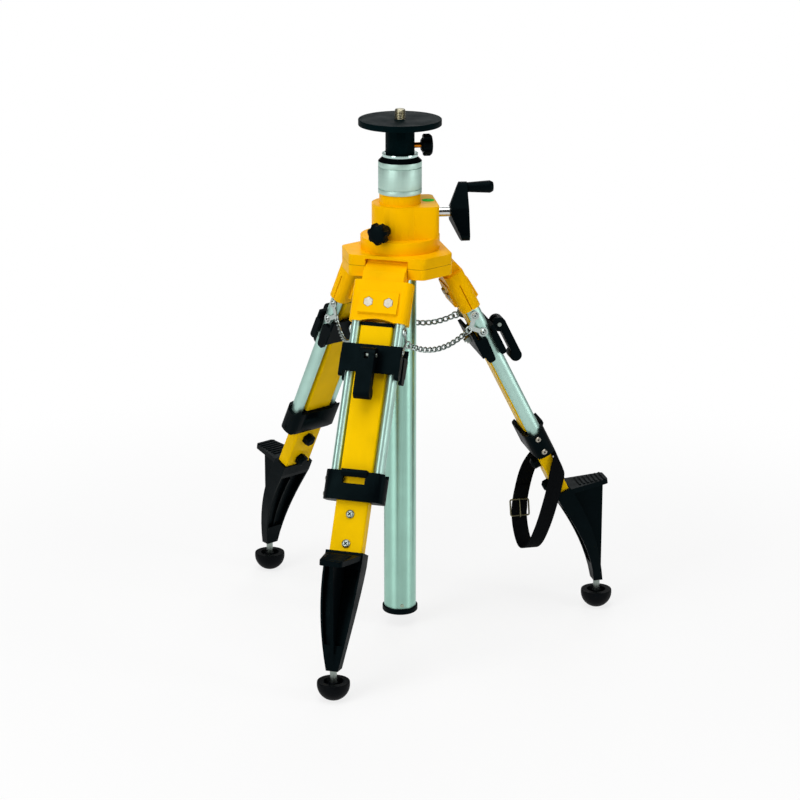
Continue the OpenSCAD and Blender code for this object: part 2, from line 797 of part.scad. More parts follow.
module bracket() {
    pocket_s = pad_s1 - 6;
    color("gold") difference() {
        union() {
            translate([0, 0, -bracket_end]) linear_extrude(bracket_end - shoulder_s)
                round_rect(bracket_t0, bracket_t1, -bracket_w / 2, bracket_w / 2, bracket_round);
            along_y(tongue_w) {
                circle(knuckle_r);
                polygon([[-knuckle_r, 0], [knuckle_r, 0], [bracket_t1 - 5, -shoulder_s * 0.5],
                    [bracket_t1 - 3, -shoulder_s - cut], [bracket_t0 + 3, -shoulder_s - cut]]);
            }
            along_y(pad_w) polygon([[bracket_t0 + cut, -pad_s0], [bracket_t1 - cut, -pad_s0],
                [bracket_t1 + 2, -pad_s0], [bracket_t1 + pad_h, -pad_s1], [bracket_t1 - cut, -pad_s1 - 3],
                [bracket_t0 + cut, -pad_s1 - 3], [bracket_t0 - pad_h, -pad_s1], [bracket_t0 - 2, -pad_s0]]);
        }
        rod_y(pin_d + 2 * run, slot_w);
        translate([0, 0, -bracket_end - cut]) linear_extrude(bracket_end - tube_top + cut) tube_plan(seat);
        translate([0, 0, -bracket_end - cut]) linear_extrude(bracket_end - pocket_s)
            round_rect(inner_t0 - cut, inner_t1 + cut, -inner_w / 2 - 0.5, inner_w / 2 + 0.5, 3);
        translate([0, 0, arch_h - bracket_end - arch_r])
            rod_x(2 * arch_r, bracket_t0 - cut, bracket_t1 + cut);
        for (turn = [0, 180]) translate([leg_t, 0, -bracket_end - cut]) rotate([0, 0, turn])
            translate([-slit_w / 2, bracket_w / 2 - slit_h, 0])
            cube([slit_w, slit_h + cut, bracket_end - pad_s0 + cut]);
        for (side = [-1, 1]) translate([0, side * bracket_bolt_v, -bracket_bolt_s]) {
            rod_x(bracket_bolt_d + 2 * seat, bracket_t0 - 10, bracket_t1 + 10);
            hex_x(hex_d + 1, bracket_t1 - 1, bracket_t1 + 10);
            hex_x(hex_d - 2, bracket_t0 - 10, bracket_t0 - 1);
        }
    }
}

module outer_tubes() {
    color("lightgray") difference() {
        translate([0, 0, -tube_end]) linear_extrude(tube_end - tube_top) difference() {
            tube_plan(0);
            tube_plan(-tube_wall);
        }
        for (side = [-1, 1]) for (s = concat(eye_rivets, collar_rivets))
            translate([leg_t, side * tube_side, -s]) rod_y(rivet_shank + 2 * seat, tube_w);
    }
}

// Moulded collar that holds the tubes' lower ends, with a slot for the inner leg to slide through
module lower_collar() {
    apron_up = 30;
    bridge_w = 38;
    window = [33, 10];
    scoop = 6;
    corner = [4, 12];
    color("dimgray") difference() {
        union() {
            translate([0, 0, -collar_end]) linear_extrude(collar_end - collar_top)
                round_rect(collar_t0, collar_t1, -collar_w / 2, collar_w / 2, 8);
            along_x(collar_t0, tube_t0 - clear) round_poly([[-bridge_w / 2, -collar_top - 10],
                [bridge_w / 2, -collar_top - 10], [bridge_w / 2 - 6, -collar_top + apron_up - 6],
                [6 - bridge_w / 2, -collar_top + apron_up - 6]], 6);
            along_y(bridge_w) polygon([[inner_t1 + 0.5, -collar_top - 8], [collar_t1, -collar_top - 8],
                [bridge_t, -collar_top - 3], [bridge_t, -collar_top + 12], [collar_t1 - 2, -collar_top + 20],
                [inner_t1 + 0.5, -collar_top + 20]]);
        }
        translate([0, 0, -tube_end - seat]) linear_extrude(tube_end - collar_top + 40) tube_plan(seat);
        translate([0, 0, -collar_end - cut]) linear_extrude(collar_end - collar_top + 60)
            round_rect(inner_t0 - clear, inner_t1 + clear, -inner_w / 2 - clear, inner_w / 2 + clear,
                inner_round + clear);
        translate([inner_t1 - cut, -window[0] / 2, -collar_top - 8 - window[1]])
            cube([20, window[0], window[1]]);
        along_y(collar_w + 2 * cut) polygon([[collar_t0 - cut, -collar_end - cut],
            [collar_t0 + corner[0], -collar_end - cut], [collar_t0 - cut, -collar_end + corner[1]]]);
        for (side = [-1, 1]) translate([0, side * (tube_v + collar_w / 4), 0]) along_y(collar_w / 2)
            round_rect(tube_t0 + 2, tube_t1 - 2, -collar_top - scoop, -collar_top + apron_up, scoop);
        for (side = [-1, 1]) for (s = collar_rivets)
            translate([leg_t, side * collar_w / 2, -s]) rod_y(rivet_shank + 2 * seat, collar_w / 2);
    }
}

// Hollow rivet along Y, its head on the plane y = 0
module rivet(shank_l) {
    rotate([-90, 0, 0]) difference() {
        union() {
            cylinder(d1 = rivet_d, d2 = rivet_d - 3, h = rivet_h);
            translate([0, 0, -shank_l]) cylinder(d = rivet_shank, h = shank_l + cut);
        }
        translate([0, 0, -rivet_h]) cylinder(d = rivet_hole, h = 3 * rivet_h);
    }
}

module outer_fasteners() {
    nut_h = 5;
    head_x = bracket_t1 - 1;
    color("silver") {
        for (side = [-1, 1]) translate([0, side * bracket_bolt_v, -bracket_bolt_s]) {
            rod_x(bracket_bolt_d, bracket_t0 - 5, head_x + cut);
            hex_x(hex_d, head_x, head_x + 4);
            difference() {
                hex_x(hex_d - 3, bracket_t0 - 1 - nut_h, bracket_t0 - 1);
                rod_x(bracket_bolt_d + 2 * seat, bracket_t0 - 10, bracket_t0);
            }
        }
        for (side = [0, 180]) for (s = collar_rivets) translate([leg_t, 0, -s]) rotate([0, 0, side])
            translate([0, collar_w / 2, 0]) rivet((collar_w - 2 * tube_side) / 2 + 4);
    }
}

// Bent plate with two riveted eyelets and a ring for the chain, on both sides of the leg
module chain_eyes() {
    color("silver") for (side = [-1, 1]) {
        translate([0, side * eye_side, 0]) difference() {
            along_y(eye_h) for (s = eye_rivets) {
                translate([leg_t, -s]) circle(eye_r);
                bar([leg_t, -s], eye_apex, eye_bar);
            }
            for (s = eye_rivets) translate([leg_t, 0, -s]) rod_y(rivet_shank + 2 * seat, 2 * eye_r);
        }
        translate([ring_t, side * ring_v, eye_apex[1]]) rotate([90, 0, -side * ring_turn]) rotate_extrude()
            translate([ring_r, 0]) circle(ring_wire, $fn = 24);
        for (s = eye_rivets) translate([leg_t, 0, -s]) rotate([0, 0, side > 0 ? 0 : 180])
            translate([0, eye_side + eye_h / 2 + seat, 0]) rivet(eye_h + 4);
    }
}

module inner_leg() {
    color("gold") difference() {
        translate([0, 0, -inner_end]) linear_extrude(inner_end - inner_top) difference() {
            round_rect(inner_t0, inner_t1, -inner_w / 2, inner_w / 2, inner_round);
            round_rect(inner_t0 + inner_wall, inner_t1 - inner_wall, -inner_w / 2 + inner_wall,
                inner_w / 2 - inner_wall, 1);
        }
        translate([0, 0, -clamp_s]) rod_x(clamp_bolt_d + 2 * seat, inner_t0 - cut, inner_t1 + cut);
        for (s = screw_s) translate([0, 0, -s]) rod_x(screw_d + 2 * seat, inner_t0 - cut, inner_t1 + cut);
    }
}

// One clamp plate, outside the leg at a turn of 0, with side wings of the outline given that hug the tubes
module clamp_plate(turn) {
    inside = tube_d / 2 + clear;
    wing_h = collar_w / 2 - tube_side - clear;
    difference() {
        union() {
            rotate([0, 0, turn]) {
                translate([0, 0, -clamp_down]) linear_extrude(clamp_up + clamp_down)
                    round_rect(inside, wing_edge, -collar_w / 2, collar_w / 2, 2);
                translate([0, 0, -clamp_down + 4]) linear_extrude(clamp_up + clamp_down - 8)
                    translate([inner_d / 2 + seat, 3 - inner_w / 2])
                    square([inside - inner_d / 2 + cut, inner_w - 6]);
            }
            for (side = [-1, 1]) translate([0, side * (tube_side + clear + wing_h / 2), 0])
                along_y(wing_h) children();
        }
        rod_x(clamp_bolt_d + 2 * seat, -wing_edge - cut, wing_edge + cut);
    }
}

module clamp_plates() {
    split = wing_split + wing_gap + wing_r;
    color("dimgray") translate([leg_t, 0, -clamp_s]) {
        clamp_plate(0) round_poly([[split, wing_r - wing_down], [wing_edge - wing_r, wing_r - wing_down],
            [wing_edge - wing_r, wing_up - wing_r], [split, wing_up - wing_r]], wing_r);
        clamp_plate(180) round_poly([[wing_rear_end[0], wing_r - wing_rear_down],
            [wing_rear_end[1], wing_r - wing_rear_down], [wing_split - wing_r, wing_up - wing_r],
            [wing_r - wing_edge, wing_up - wing_r]], wing_r);
    }
    color("dimgray") inner_cap();
}

// Plan of the plugs that fit inside the inner leg
module inner_core() {
    grow = inner_wall + seat + run;
    round_rect(inner_t0 + grow, inner_t1 - grow, -inner_w / 2 + grow, inner_w / 2 - grow, 1);
}

// Cap in the inner leg's top end
module inner_cap() {
    rim = 2.5;
    translate([0, 0, seat - inner_top]) linear_extrude(rim)
        round_rect(inner_t0, inner_t1, -inner_w / 2, inner_w / 2, inner_round);
    translate([0, 0, -inner_top - 10]) linear_extrude(10 + cut) inner_core();
}

// Pan head with a cross recess along X, its underside on the plane x = 0
module pan_head() {
    rim = screw_head_d / 2;
    recess = [1.5, 1.5, 6.4];
    difference() {
        rotate([0, 90, 0]) rotate_extrude() polygon([[0, 0], [rim, 0], [rim, screw_head_h / 2],
            [rim - 2, screw_head_h], [0, screw_head_h]]);
        for (turn = [45, 135]) rotate([turn, 0, 0])
            translate([screw_head_h - recess[0], -recess[1] / 2, -recess[2] / 2])
            cube([recess[0] + cut, recess[1], recess[2]]);
    }
}

// Eye bolt, lever pin and nut of the clamp, the foot's screws, and its levelling stud
module inner_fasteners() {
    nut_h = 6;
    color("silver") {
        translate([0, 0, -clamp_s]) {
            difference() {
                union() {
                    rod_x(clamp_bolt_d, clamp_t0 - nut_h - 3, lever_t);
                    translate([lever_t, 0, 0]) rod_y(2 * lever_pin_d, eye_w);
                }
                translate([lever_t, 0, 0]) rod_y(lever_pin_d + 2 * seat, 3 * eye_w);
            }
            translate([lever_t, 0, 0]) rod_y(lever_pin_d, lever_w + 2);
            difference() {
                hex_x(2 * clamp_bolt_d, clamp_t0 - seat - nut_h, clamp_t0 - seat);
                rod_x(clamp_bolt_d + 2 * seat, clamp_t0 - nut_h - cut, clamp_t0);
            }
        }
        for (s = screw_s) translate([0, 0, -s]) {
            rod_x(screw_d, inner_t0 - screw_nut_h + 2, inner_t1 + cut);
            translate([inner_t1 + seat, 0, 0]) pan_head();
        }
        at_tip() translate([0, 0, ball_cup + 2 - tip_z])
            cylinder(d = foot_stud_d, h = tip_z + stud_in - ball_cup - 2);
    }
}

// Lever with a round cam head and a bulb at its end, hanging down when it is clamped
module clamp_lever() {
    bulb_r = 9;
    bulb = [bridge_t + 0.5 - lever_t + bulb_r, bulb_r - lever_len];
    arm = [-2, lever_r - 0.2];
    eye_gap = lever_pin_d + 0.5;
    swing = clamp_bolt_d / 2 + 0.4;
    window = [-7, 2];
    color("dimgray") translate([lever_t, 0, -clamp_s]) difference() {
        union() {
            rod_y(2 * lever_r, lever_w);
            translate([bulb[0], 0, bulb[1]]) rod_y(2 * bulb_r, lever_w);
            along_y(lever_w) polygon([[arm[0], 0], [arm[0], bulb[1]], [arm[1], bulb[1]], [arm[1], 0]]);
        }
        rod_y(2 * eye_gap, fork_w);
        translate([-2 * lever_r, -fork_w / 2, -swing]) cube([2 * lever_r + swing, fork_w, 3 * lever_r]);
        translate([0, -fork_w / 2, window[0]]) cube([2 * lever_r, fork_w, window[1] - window[0]]);
        rod_y(lever_pin_d + 2 * run, lever_w + 2 * cut);
    }
}

// Side view of the foot: a wall behind the inner leg, then curved inner and outer edges down to the tip
foot_wall = 2.5;
foot_back = [[inner_t0 - foot_wall, -inner_end - 3], [inner_t0 + 3, -foot_s - 60],
    [inner_t0 + 9, -foot_s - 110], from_tip(-tip_r, 0)];
foot_front = [[inner_t1 + 2, -foot_s], [inner_t1 + 8, -foot_s - 60], [inner_t1 + 3, -foot_s - 110],
    from_tip(tip_r, 0)];
foot_middle = (foot_back + foot_front) / 2;

module foot_side() {
    n = 10;
    back = curve(foot_back, n);
    front = curve(foot_front, n);
    polygon(concat(front, [for (i = [n : -1 : 0]) back[i]], [[inner_t0 - foot_wall, -foot_s]]));
}

// Front view of the foot: half width w0 beside the inner leg's end, then curving in to w1 at the tip
module foot_taper(w0, w1) {
    n = 8;
    edge = curve([[w0, -inner_end - 4], [w0 - 1, -foot_s - 70],
        [w1 + 12, -foot_s - 120], [w1, -tip_s - 5]], n);
    along_x(-100, 200) polygon(concat([[-w0, -foot_s + 10]], [for (p = edge) [-p[0], p[1]]],
        [for (i = [n : -1 : 0]) edge[i]], [[w0, -foot_s + 10]]));
}

// Recess between the foot's side flanges, towards the back (-1) or the front (1)
module foot_recess(side) {
    edge = [for (p = curve(foot_middle, 8, 0.1, 0.8)) p + [side * floor_h / 2, 0]];
    last = len(edge) - 1;
    intersection() {
        along_y(4 * foot_top_w) polygon(concat(edge, [edge[last] + [side * 60, 0],
            edge[0] + [side * 60, 0]]));
        foot_taper(foot_top_w - 3, foot_tip_w - 3);
    }
}

// Step plate with grip ribs, drawn from the leg outwards along X
module step_plate() {
    w0 = foot_top_w - 2;
    w1 = foot_top_w - 10;
    pitch = 6.4;
    rib_d = 4.6;
    rib_h = 1.4;
    translate([0, 0, -step_h]) linear_extrude(step_h)
        round_poly([[5, -w0 + 5], [step_len - 6, -w1 + 6], [step_len - 6, w1 - 6], [5, w0 - 5]], 5);
    for (k = [1 : step_ribs]) translate([step_len - pitch * k, 0, rib_h - rib_d / 2])
        rod_y(rib_d, 2 * w1 - 4);
}

module foot() {
    step_turn = leg_tilt - step_rise;
    color("dimgray") difference() {
        union() {
            difference() {
                intersection() {
                    along_y(4 * foot_top_w) foot_side();
                    foot_taper(foot_top_w, foot_tip_w);
                }
                foot_recess(1);
                foot_recess(-1);
            }
            translate([inner_t1 - 1, 0, -foot_s - 2]) rotate([0, step_turn, 0]) step_plate();
            along_y(web_h) polygon(concat(curve(foot_middle, 6, 0.1, 0.95), [from_tip(web_x, 8),
                from_tip(web_x, foot_len - 8), [inner_t1, -foot_s - 6]]));
            along_y(3) polygon(concat(curve(foot_middle, 6, 0.15, 0.9),
                [for (i = [6 : -1 : 0]) bezier(foot_back, 0.15 + 0.75 * i / 6) + [3, 0]]));
        }
        translate([0, 0, -inner_end - seat]) linear_extrude(60)
            round_rect(inner_t0 - seat, inner_t1 + seat, -inner_w / 2 - seat, inner_w / 2 + seat,
                inner_round);
        at_tip() translate([0, 0, -10]) cylinder(d = foot_stud_d + 2 * seat, h = stud_in + 10 + seat);
    }
    color("dimgray") foot_plug();
    color("dimgray") foot_nuts();
}

// Cap nuts of the foot's screws, on the inside of the leg
module foot_nuts() {
    for (s = screw_s) translate([inner_t0 - seat, 0, -s]) difference() {
        union() {
            hex_x(screw_nut_d, -screw_nut_h, 0);
            translate([-screw_nut_h, 0, 0]) rotate([0, -90, 0])
                cylinder(d1 = screw_nut_d - 1, d2 = screw_nut_d - 7, h = screw_nut_cap);
        }
        rod_x(screw_d + 2 * seat, 1 - screw_nut_h, cut);
    }
}

// Core of the foot inside the inner leg
module foot_plug() {
    difference() {
        translate([0, 0, -inner_end - 3]) linear_extrude(inner_end + 3 - plug_top) inner_core();
        for (s = screw_s) translate([0, 0, -s]) rod_x(screw_d + 2 * seat, inner_t0 - cut, inner_t1 + cut);
    }
}

module ball_foot() {
    color("dimgray") at_tip() translate([0, 0, -tip_z]) difference() {
        intersection() {
            translate([0, 0, ball_r - ball_flat]) sphere(ball_r, $fn = 64);
            cylinder(r = 2 * ball_r, h = ball_h);
        }
        translate([0, 0, ball_h - ball_cup]) difference() {
            cylinder(r1 = ball_cup_r - 3, r2 = ball_cup_r, h = ball_cup + cut);
            translate([0, 0, -cut])
                cylinder(r1 = foot_stud_d / 2 + 3, r2 = foot_stud_d / 2 + 1.5, h = ball_cup);
        }
        translate([0, 0, ball_cup + 2 - seat]) cylinder(d = foot_stud_d + 2 * seat, h = ball_h);
    }
}

// Chain route between two eyes: a shallow hanging curve, stepped by equal arc lengths
function hang(a, b, u) = a + (b - a) * u - [0, 0, 4 * chain_sag * u * (1 - u)];
function arc_table(a, b, n, i = 0, l = 0) = i > n ? [] : concat([[l, i / n]],
    arc_table(a, b, n, i + 1, l + (i < n ? norm(hang(a, b, (i + 1) / n) - hang(a, b, i / n)) : 0)));

// One chain link along X, half as long as h at the middle of its wire, lying in the XY plane
module link(h) {
    straight = h - link_r;
    for (side = [-1, 1]) {
        translate([-straight, side * link_r, 0]) rod_x(chain_wire, 0, 2 * straight);
        translate([side * straight, 0, 0]) rotate([0, 0, -90 * side]) rotate_extrude(angle = 180)
            translate([link_r, 0]) circle(d = chain_wire, $fn = 24);
    }
}

module chain(n) {
    a = leg_point(n, ring_t, ring_v, -eye_apex[1]);
    b = leg_point(n % 3 + 1, ring_t, -ring_v, -eye_apex[1]);
    table = arc_table(a, b, 48);
    total = table[48][0];
    lead = ring_r - ring_wire - chain_wire / 2 - link_gap;
    hold = chain_wire + link_gap;
    half = (total - 2 * lead + (chain_links - 1) * hold) / (2 * chain_links);
    for (i = [0 : chain_links - 1]) {
        u = lookup(lead + half + i * (2 * half - hold), table);
        d = hang(a, b, u + 0.02) - hang(a, b, u - 0.02);
        translate(hang(a, b, u)) rotate([0, -asin(d[2] / norm(d)), atan2(d[1], d[0])])
            rotate([i % 2 == 0 ? 0 : 90, 0, 0]) link(half);
    }
}

module chains() {
    color("silver") for (n = [1 : 3]) chain(n);
}

// Strap route in leg coordinates: across, sideways, down the leg, and the lean of its width in degrees
strap_t = inner_t1 + seat + screw_head_h + clear + strap_h / 2;
strap_v = inner_w / 2 + clear + strap_h / 2;
strap_route = [
    [strap_t, 0, 360, 90],
    [strap_t + 0.5, -strap_v - 0.5, 366, 90],
    [10, -30, 390, 34],
    [-14, -31, 419, 26],
    [-41, -27, 450, 26],
    [-64, -16, 474, 26],
    [-75, 0, 478, 26],
    [-70, 12, 455, 26],
    [-56, 22, 426, 26],
    [-34, 28, 398, 26],
    [-13, 30, 377, 34],
    [8, 29, 366, 60],
    [strap_t + 0.5, strap_v + 0.5, 361, 90]
];
strap_steps = 4;

// Smooth closed curve through the route's points
function catmull(p, u) = 0.5 * (2 * p[1] + (p[2] - p[0]) * u + (2 * p[0] - 5 * p[1] + 4 * p[2] - p[3]) * u * u
    + (3 * p[1] - p[0] - 3 * p[2] + p[3]) * u * u * u);
function strap_at(x) = let (n = len(strap_route), i = floor(x))
    catmull([for (k = [-1 : 2]) strap_route[(i + k + n) % n]], x - i);
function strap_mid(x) = let (p = strap_at(x)) [p[0], p[1], -p[2]];
function strap_side(x) = let (p = strap_at(x)) [cos(p[3]), 0, -sin(p[3])];
function strap_ahead(x) = strap_mid(x + 0.05) - strap_mid(x - 0.05 + len(strap_route));
function strap_face(x) = let (c = cross(strap_ahead(x), strap_side(x))) c / norm(c);

module strap() {
    count = len(strap_route) * strap_steps;
    points = [for (i = [0 : count - 1]) let (x = i / strap_steps, c = strap_mid(x),
        w = strap_side(x) * strap_w / 2, h = strap_face(x) * strap_h / 2)
        for (p = [c + w + h, c + w - h, c - w - h, c - w + h]) p];
    faces = [for (i = [0 : count - 1]) for (k = [0 : 3]) let (a = 4 * i + k, b = 4 * i + (k + 1) % 4,
        j = 4 * ((i + 1) % count), c = j + (k + 1) % 4, d = j + k) for (f = [[a, b, c], [a, c, d]]) f];
    color("dimgray") polyhedron(points, faces);
}

// Wire buckle lying on the strap's inner run
module strap_buckle() {
    at = 8;
    c = strap_mid(at);
    w = strap_side(at);
    f = strap_face(at);
    along = cross(f, w);
    wire = 2.6;
    open = [strap_w + 2, 22];
    prong = 2.4;
    place = [for (r = [0 : 2]) [w[r], along[r], f[r], c[r] + f[r] * (strap_h / 2 + clear)]];
    color("silver") multmatrix(concat(place, [[0, 0, 0, 1]])) linear_extrude(wire) difference() {
        round_rect(-open[0] / 2 - wire, open[0] / 2 + wire, -open[1] / 2 - wire, open[1] / 2 + wire, 4);
        difference() {
            round_rect(-open[0] / 2, open[0] / 2, -open[1] / 2, open[1] / 2, 2);
            translate([-prong / 2, -open[1]]) square([prong, 2 * open[1]]);
        }
    }
}

LEG_PARTS = ["bracket", "outer_tubes", "lower_collar", "outer_fasteners", "chain_eyes", "inner_leg",
    "clamp_plates", "inner_fasteners", "clamp_lever", "foot", "ball_foot"];

top_plate();
bottom_plate();
lower_bush();
head_bolts();
hinge_pins();
gear_housing();
level_vial();
guide_collar();
wiper_ring();
column_tube();
column_rack();
column_plug();
column_cap();
crank_shaft();
crank_bushes();
crank_arm();
crank_grip();
platform_plate();
platform_hub();
mount_stud();
platform_knob();
platform_knob_screw();
lock_knob();
lock_knob_screw();
chains();
on_leg(1) strap();
on_leg(1) strap_buckle();
for (n = [1 : 3]) {
    on_leg(n) bracket();
    on_leg(n) outer_tubes();
    on_leg(n) lower_collar();
    on_leg(n) outer_fasteners();
    on_leg(n) chain_eyes();
    on_leg(n) inner_leg();
    on_leg(n) clamp_plates();
    on_leg(n) inner_fasteners();
    on_leg(n) clamp_lever();
    on_leg(n) foot();
    on_leg(n) ball_foot();
}
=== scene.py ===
"""Looks of the elevating tripod: materials, soft edges, tubes, chains, strap and small trim."""
import json
import math

import bmesh
import bpy
from mathutils import Matrix, Vector


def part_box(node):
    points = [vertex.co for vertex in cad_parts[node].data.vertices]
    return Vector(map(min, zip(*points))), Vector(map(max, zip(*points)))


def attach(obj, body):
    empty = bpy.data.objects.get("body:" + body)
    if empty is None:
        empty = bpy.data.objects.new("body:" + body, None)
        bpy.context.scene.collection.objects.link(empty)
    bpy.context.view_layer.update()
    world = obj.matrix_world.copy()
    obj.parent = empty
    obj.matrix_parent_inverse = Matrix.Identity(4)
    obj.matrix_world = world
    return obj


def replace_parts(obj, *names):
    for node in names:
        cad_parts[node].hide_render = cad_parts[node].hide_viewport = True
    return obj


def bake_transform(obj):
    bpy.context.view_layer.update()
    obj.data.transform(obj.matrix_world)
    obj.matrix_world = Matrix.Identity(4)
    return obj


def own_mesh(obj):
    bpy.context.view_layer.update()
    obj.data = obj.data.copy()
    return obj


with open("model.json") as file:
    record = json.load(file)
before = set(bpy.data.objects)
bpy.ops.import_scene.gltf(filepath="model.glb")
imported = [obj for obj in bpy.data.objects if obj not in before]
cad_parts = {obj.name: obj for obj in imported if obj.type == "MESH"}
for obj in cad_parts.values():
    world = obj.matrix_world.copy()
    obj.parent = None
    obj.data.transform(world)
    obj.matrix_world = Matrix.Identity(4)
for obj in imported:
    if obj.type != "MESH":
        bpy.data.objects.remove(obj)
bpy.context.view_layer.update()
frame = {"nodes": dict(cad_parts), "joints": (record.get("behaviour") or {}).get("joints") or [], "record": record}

MM = 0.001
NODES = frame["nodes"]
JOINTS = {joint["name"]: joint for joint in frame["joints"]}
SLOTS = {part["node"]: part["material_slot"] for part in frame["record"]["subparts"]}
LEGS = (1, 2, 3)


# Leg coordinates: X outwards across the leg, Y sideways, Z up the leg, from the hinge pin
def leg_matrix(n):
    """Turns a leg's coordinates into the part's frame, both in metres."""
    fold = JOINTS[f"leg_{n}_fold"]
    y = Vector(fold["axis"])
    z = -Vector(JOINTS[f"inner_leg_{n}_slide"]["axis"])
    x = y.cross(z)
    matrix = Matrix((x, y, z)).transposed().to_4x4()
    matrix.translation = Vector(fold["pos_m"])
    return matrix


LEG_FRAMES = {n: leg_matrix(n) for n in LEGS}


def leg_point(n, point):
    """A point in leg coordinates and millimetres, in the part's frame."""
    return LEG_FRAMES[n] @ (MM * Vector(point))


def next_leg(n):
    return n % len(LEGS) + 1


# Shader nodes
MATERIALS = {}
FLAT_MAP = "weave"
NOISE_RANGE = (0.3, 0.7)


def shade(hex_colour, brightness):
    """A colour as it is seen, in the linear numbers that a shader takes, times a brightness."""
    channels = [int(hex_colour[i:i + 2], 16) / 255 for i in (0, 2, 4)]
    linear = [c / 12.92 if c <= 0.04045 else ((c + 0.055) / 1.055) ** 2.4 for c in channels]
    return (*(c * brightness for c in linear), 1.0)


class Nodes:
    """Adds and links the nodes of one material or world."""

    def __init__(self, owner):
        owner.use_nodes = True
        self.tree = owner.node_tree

    def add(self, kind, **inputs):
        """A new node. Its inputs are values or other nodes' outputs, with _ for a space."""
        node = self.tree.nodes.new(kind)
        for socket, value in inputs.items():
            self.put(node.inputs[socket.replace("_", " ")], value)
        return node

    def put(self, socket, value):
        if isinstance(value, bpy.types.NodeSocket):
            self.tree.links.new(value, socket)
        else:
            socket.default_value = value

    def math(self, operation, *values):
        node = self.add("ShaderNodeMath")
        node.operation = operation
        for socket, value in zip(node.inputs, values):
            self.put(socket, value)
        return node.outputs["Value"]

    def spread(self, value, source, target, blend="LINEAR"):
        """A value taken from the source range to the target range."""
        node = self.add("ShaderNodeMapRange", Value=value, From_Min=source[0], From_Max=source[1],
                        To_Min=target[0], To_Max=target[1])
        node.interpolation_type = blend
        return node.outputs["Result"]

    def seen(self):
        """1 for rays from the camera, from gloss and through glass, which see the background."""
        rays = self.add("ShaderNodeLightPath").outputs
        camera_or_gloss = self.math("MAXIMUM", rays["Is Camera Ray"], rays["Is Glossy Ray"])
        return self.math("MAXIMUM", camera_or_gloss, rays["Is Transmission Ray"])


class Shader(Nodes):
    """A material, built step by step around its principled shader."""

    def __init__(self, name, turn=None, **sockets):
        material = bpy.data.materials.new(name)
        super().__init__(material)
        MATERIALS[name] = material
        self.surface = self.tree.nodes["Principled BSDF"]
        for socket, value in sockets.items():
            self.set(socket.replace("_", " "), value)
        self.place = self.add("ShaderNodeTexCoord").outputs["Object"]
        if turn:
            mapping = self.add("ShaderNodeMapping", Vector=self.place, Rotation=turn)
            self.place = mapping.outputs["Vector"]

    def set(self, socket, value):
        self.put(self.surface.inputs[socket], value)

    def stretched(self, scale):
        """The place on the piece, scaled along each axis."""
        node = self.add("ShaderNodeVectorMath", Vector=self.place)
        node.operation = "MULTIPLY"
        node.inputs[1].default_value = scale
        return node.outputs["Vector"]

    def noise(self, scale, detail, vector=None, roughness=0.5):
        node = self.add("ShaderNodeTexNoise", Scale=scale, Detail=detail, Roughness=roughness,
                        Vector=vector or self.place)
        return node.outputs["Fac"]

    def tones(self, factor, hex_colour, *stops):
        """Colour the surface in shades of one colour, at stops of (factor, brightness)."""
        node = self.add("ShaderNodeValToRGB", Fac=factor)
        points = node.color_ramp.elements
        while len(points) < len(stops):
            points.new(0.5)
        for point, (position, brightness) in zip(points, stops):
            point.position = position
            point.color = shade(hex_colour, brightness)
        self.set("Base Color", node.outputs["Color"])

    def polish(self, noise, low, high):
        """Roughness that noise varies between low and high."""
        self.set("Roughness", self.spread(noise, NOISE_RANGE, (low, high)))

    def bump(self, height, depth):
        """Relief with a depth in metres."""
        node = self.add("ShaderNodeBump", Height=height, Strength=1.0, Distance=depth)
        self.set("Normal", node.outputs["Normal"])


# Materials. The scales of their layers of noise are in spots per metre
PAINT_DRIFT = 22.0
PAINT_SHEEN = 90.0
MOULD_SCUFFS = 60.0
MOULD_SHEEN = 35.0
METAL_TONE = 30.0
METAL_GRAIN = 420.0
RUBBER_BLOOM = 45.0
RUBBER_GRAIN = 1400.0
YELLOW_TINT = (1.0, 0.8, 0.25, 1.0)
GREEN_TINT = (0.3, 1.0, 0.3, 1.0)
BLACK_TINT = (0.45, 0.95, 1.0, 1.0)
ANISOTROPY = 0.75
WEAVE_STRIPE = 3.0
WEAVE_PITCH = 1.7


def paint(name, hex_colour, grain, depth, gloss, specular=0.04, tint=YELLOW_TINT):
    """Coloured coating with a fine orange-peel surface and slow drifts in tone."""
    s = Shader(name, Specular_IOR_Level=specular, Specular_Tint=tint)
    s.tones(s.noise(PAINT_DRIFT, 4.0), hex_colour, (0.25, 0.9), (0.5, 1.0), (0.8, 1.06))
    s.polish(s.noise(PAINT_SHEEN, 2.0), gloss - 0.05, gloss + 0.07)
    s.bump(s.noise(grain, 2.0), depth)


def moulded(name, hex_colour, grain, depth, gloss, specular):
    """Black moulding or coating: fine grain, faint scuffs and slightly polished patches."""
    s = Shader(name, Specular_IOR_Level=specular, Specular_Tint=BLACK_TINT)
    scuffs = s.noise(MOULD_SCUFFS, 6.0, roughness=0.7)
    s.tones(scuffs, hex_colour, (0.35, 1.0), (0.62, 1.6), (0.78, 3.0))
    s.polish(s.noise(MOULD_SHEEN, 3.0), gloss - 0.07, gloss + 0.09)
    s.bump(s.noise(grain, 2.0), depth)


def metal(name, hex_colour, gloss, drawn=None, turn=None, axis=None, depth=0.00001):
    """Bare or plated metal. drawn stretches its fine lines, axis draws out its highlights."""
    s = Shader(name, turn=turn, Metallic=1.0, Anisotropic=ANISOTROPY if axis else 0.0)
    if axis:
        direction = s.add("ShaderNodeCombineXYZ", X=axis[0], Y=axis[1], Z=axis[2])
        s.set("Tangent", direction.outputs["Vector"])
    lines = s.noise(1.0, 4.0, s.stretched(drawn)) if drawn else s.noise(METAL_GRAIN, 3.0)
    s.tones(s.noise(METAL_TONE, 4.0), hex_colour, (0.3, 0.92), (0.7, 1.04))
    s.polish(lines, gloss - 0.06, gloss + 0.08)
    s.bump(lines, depth)


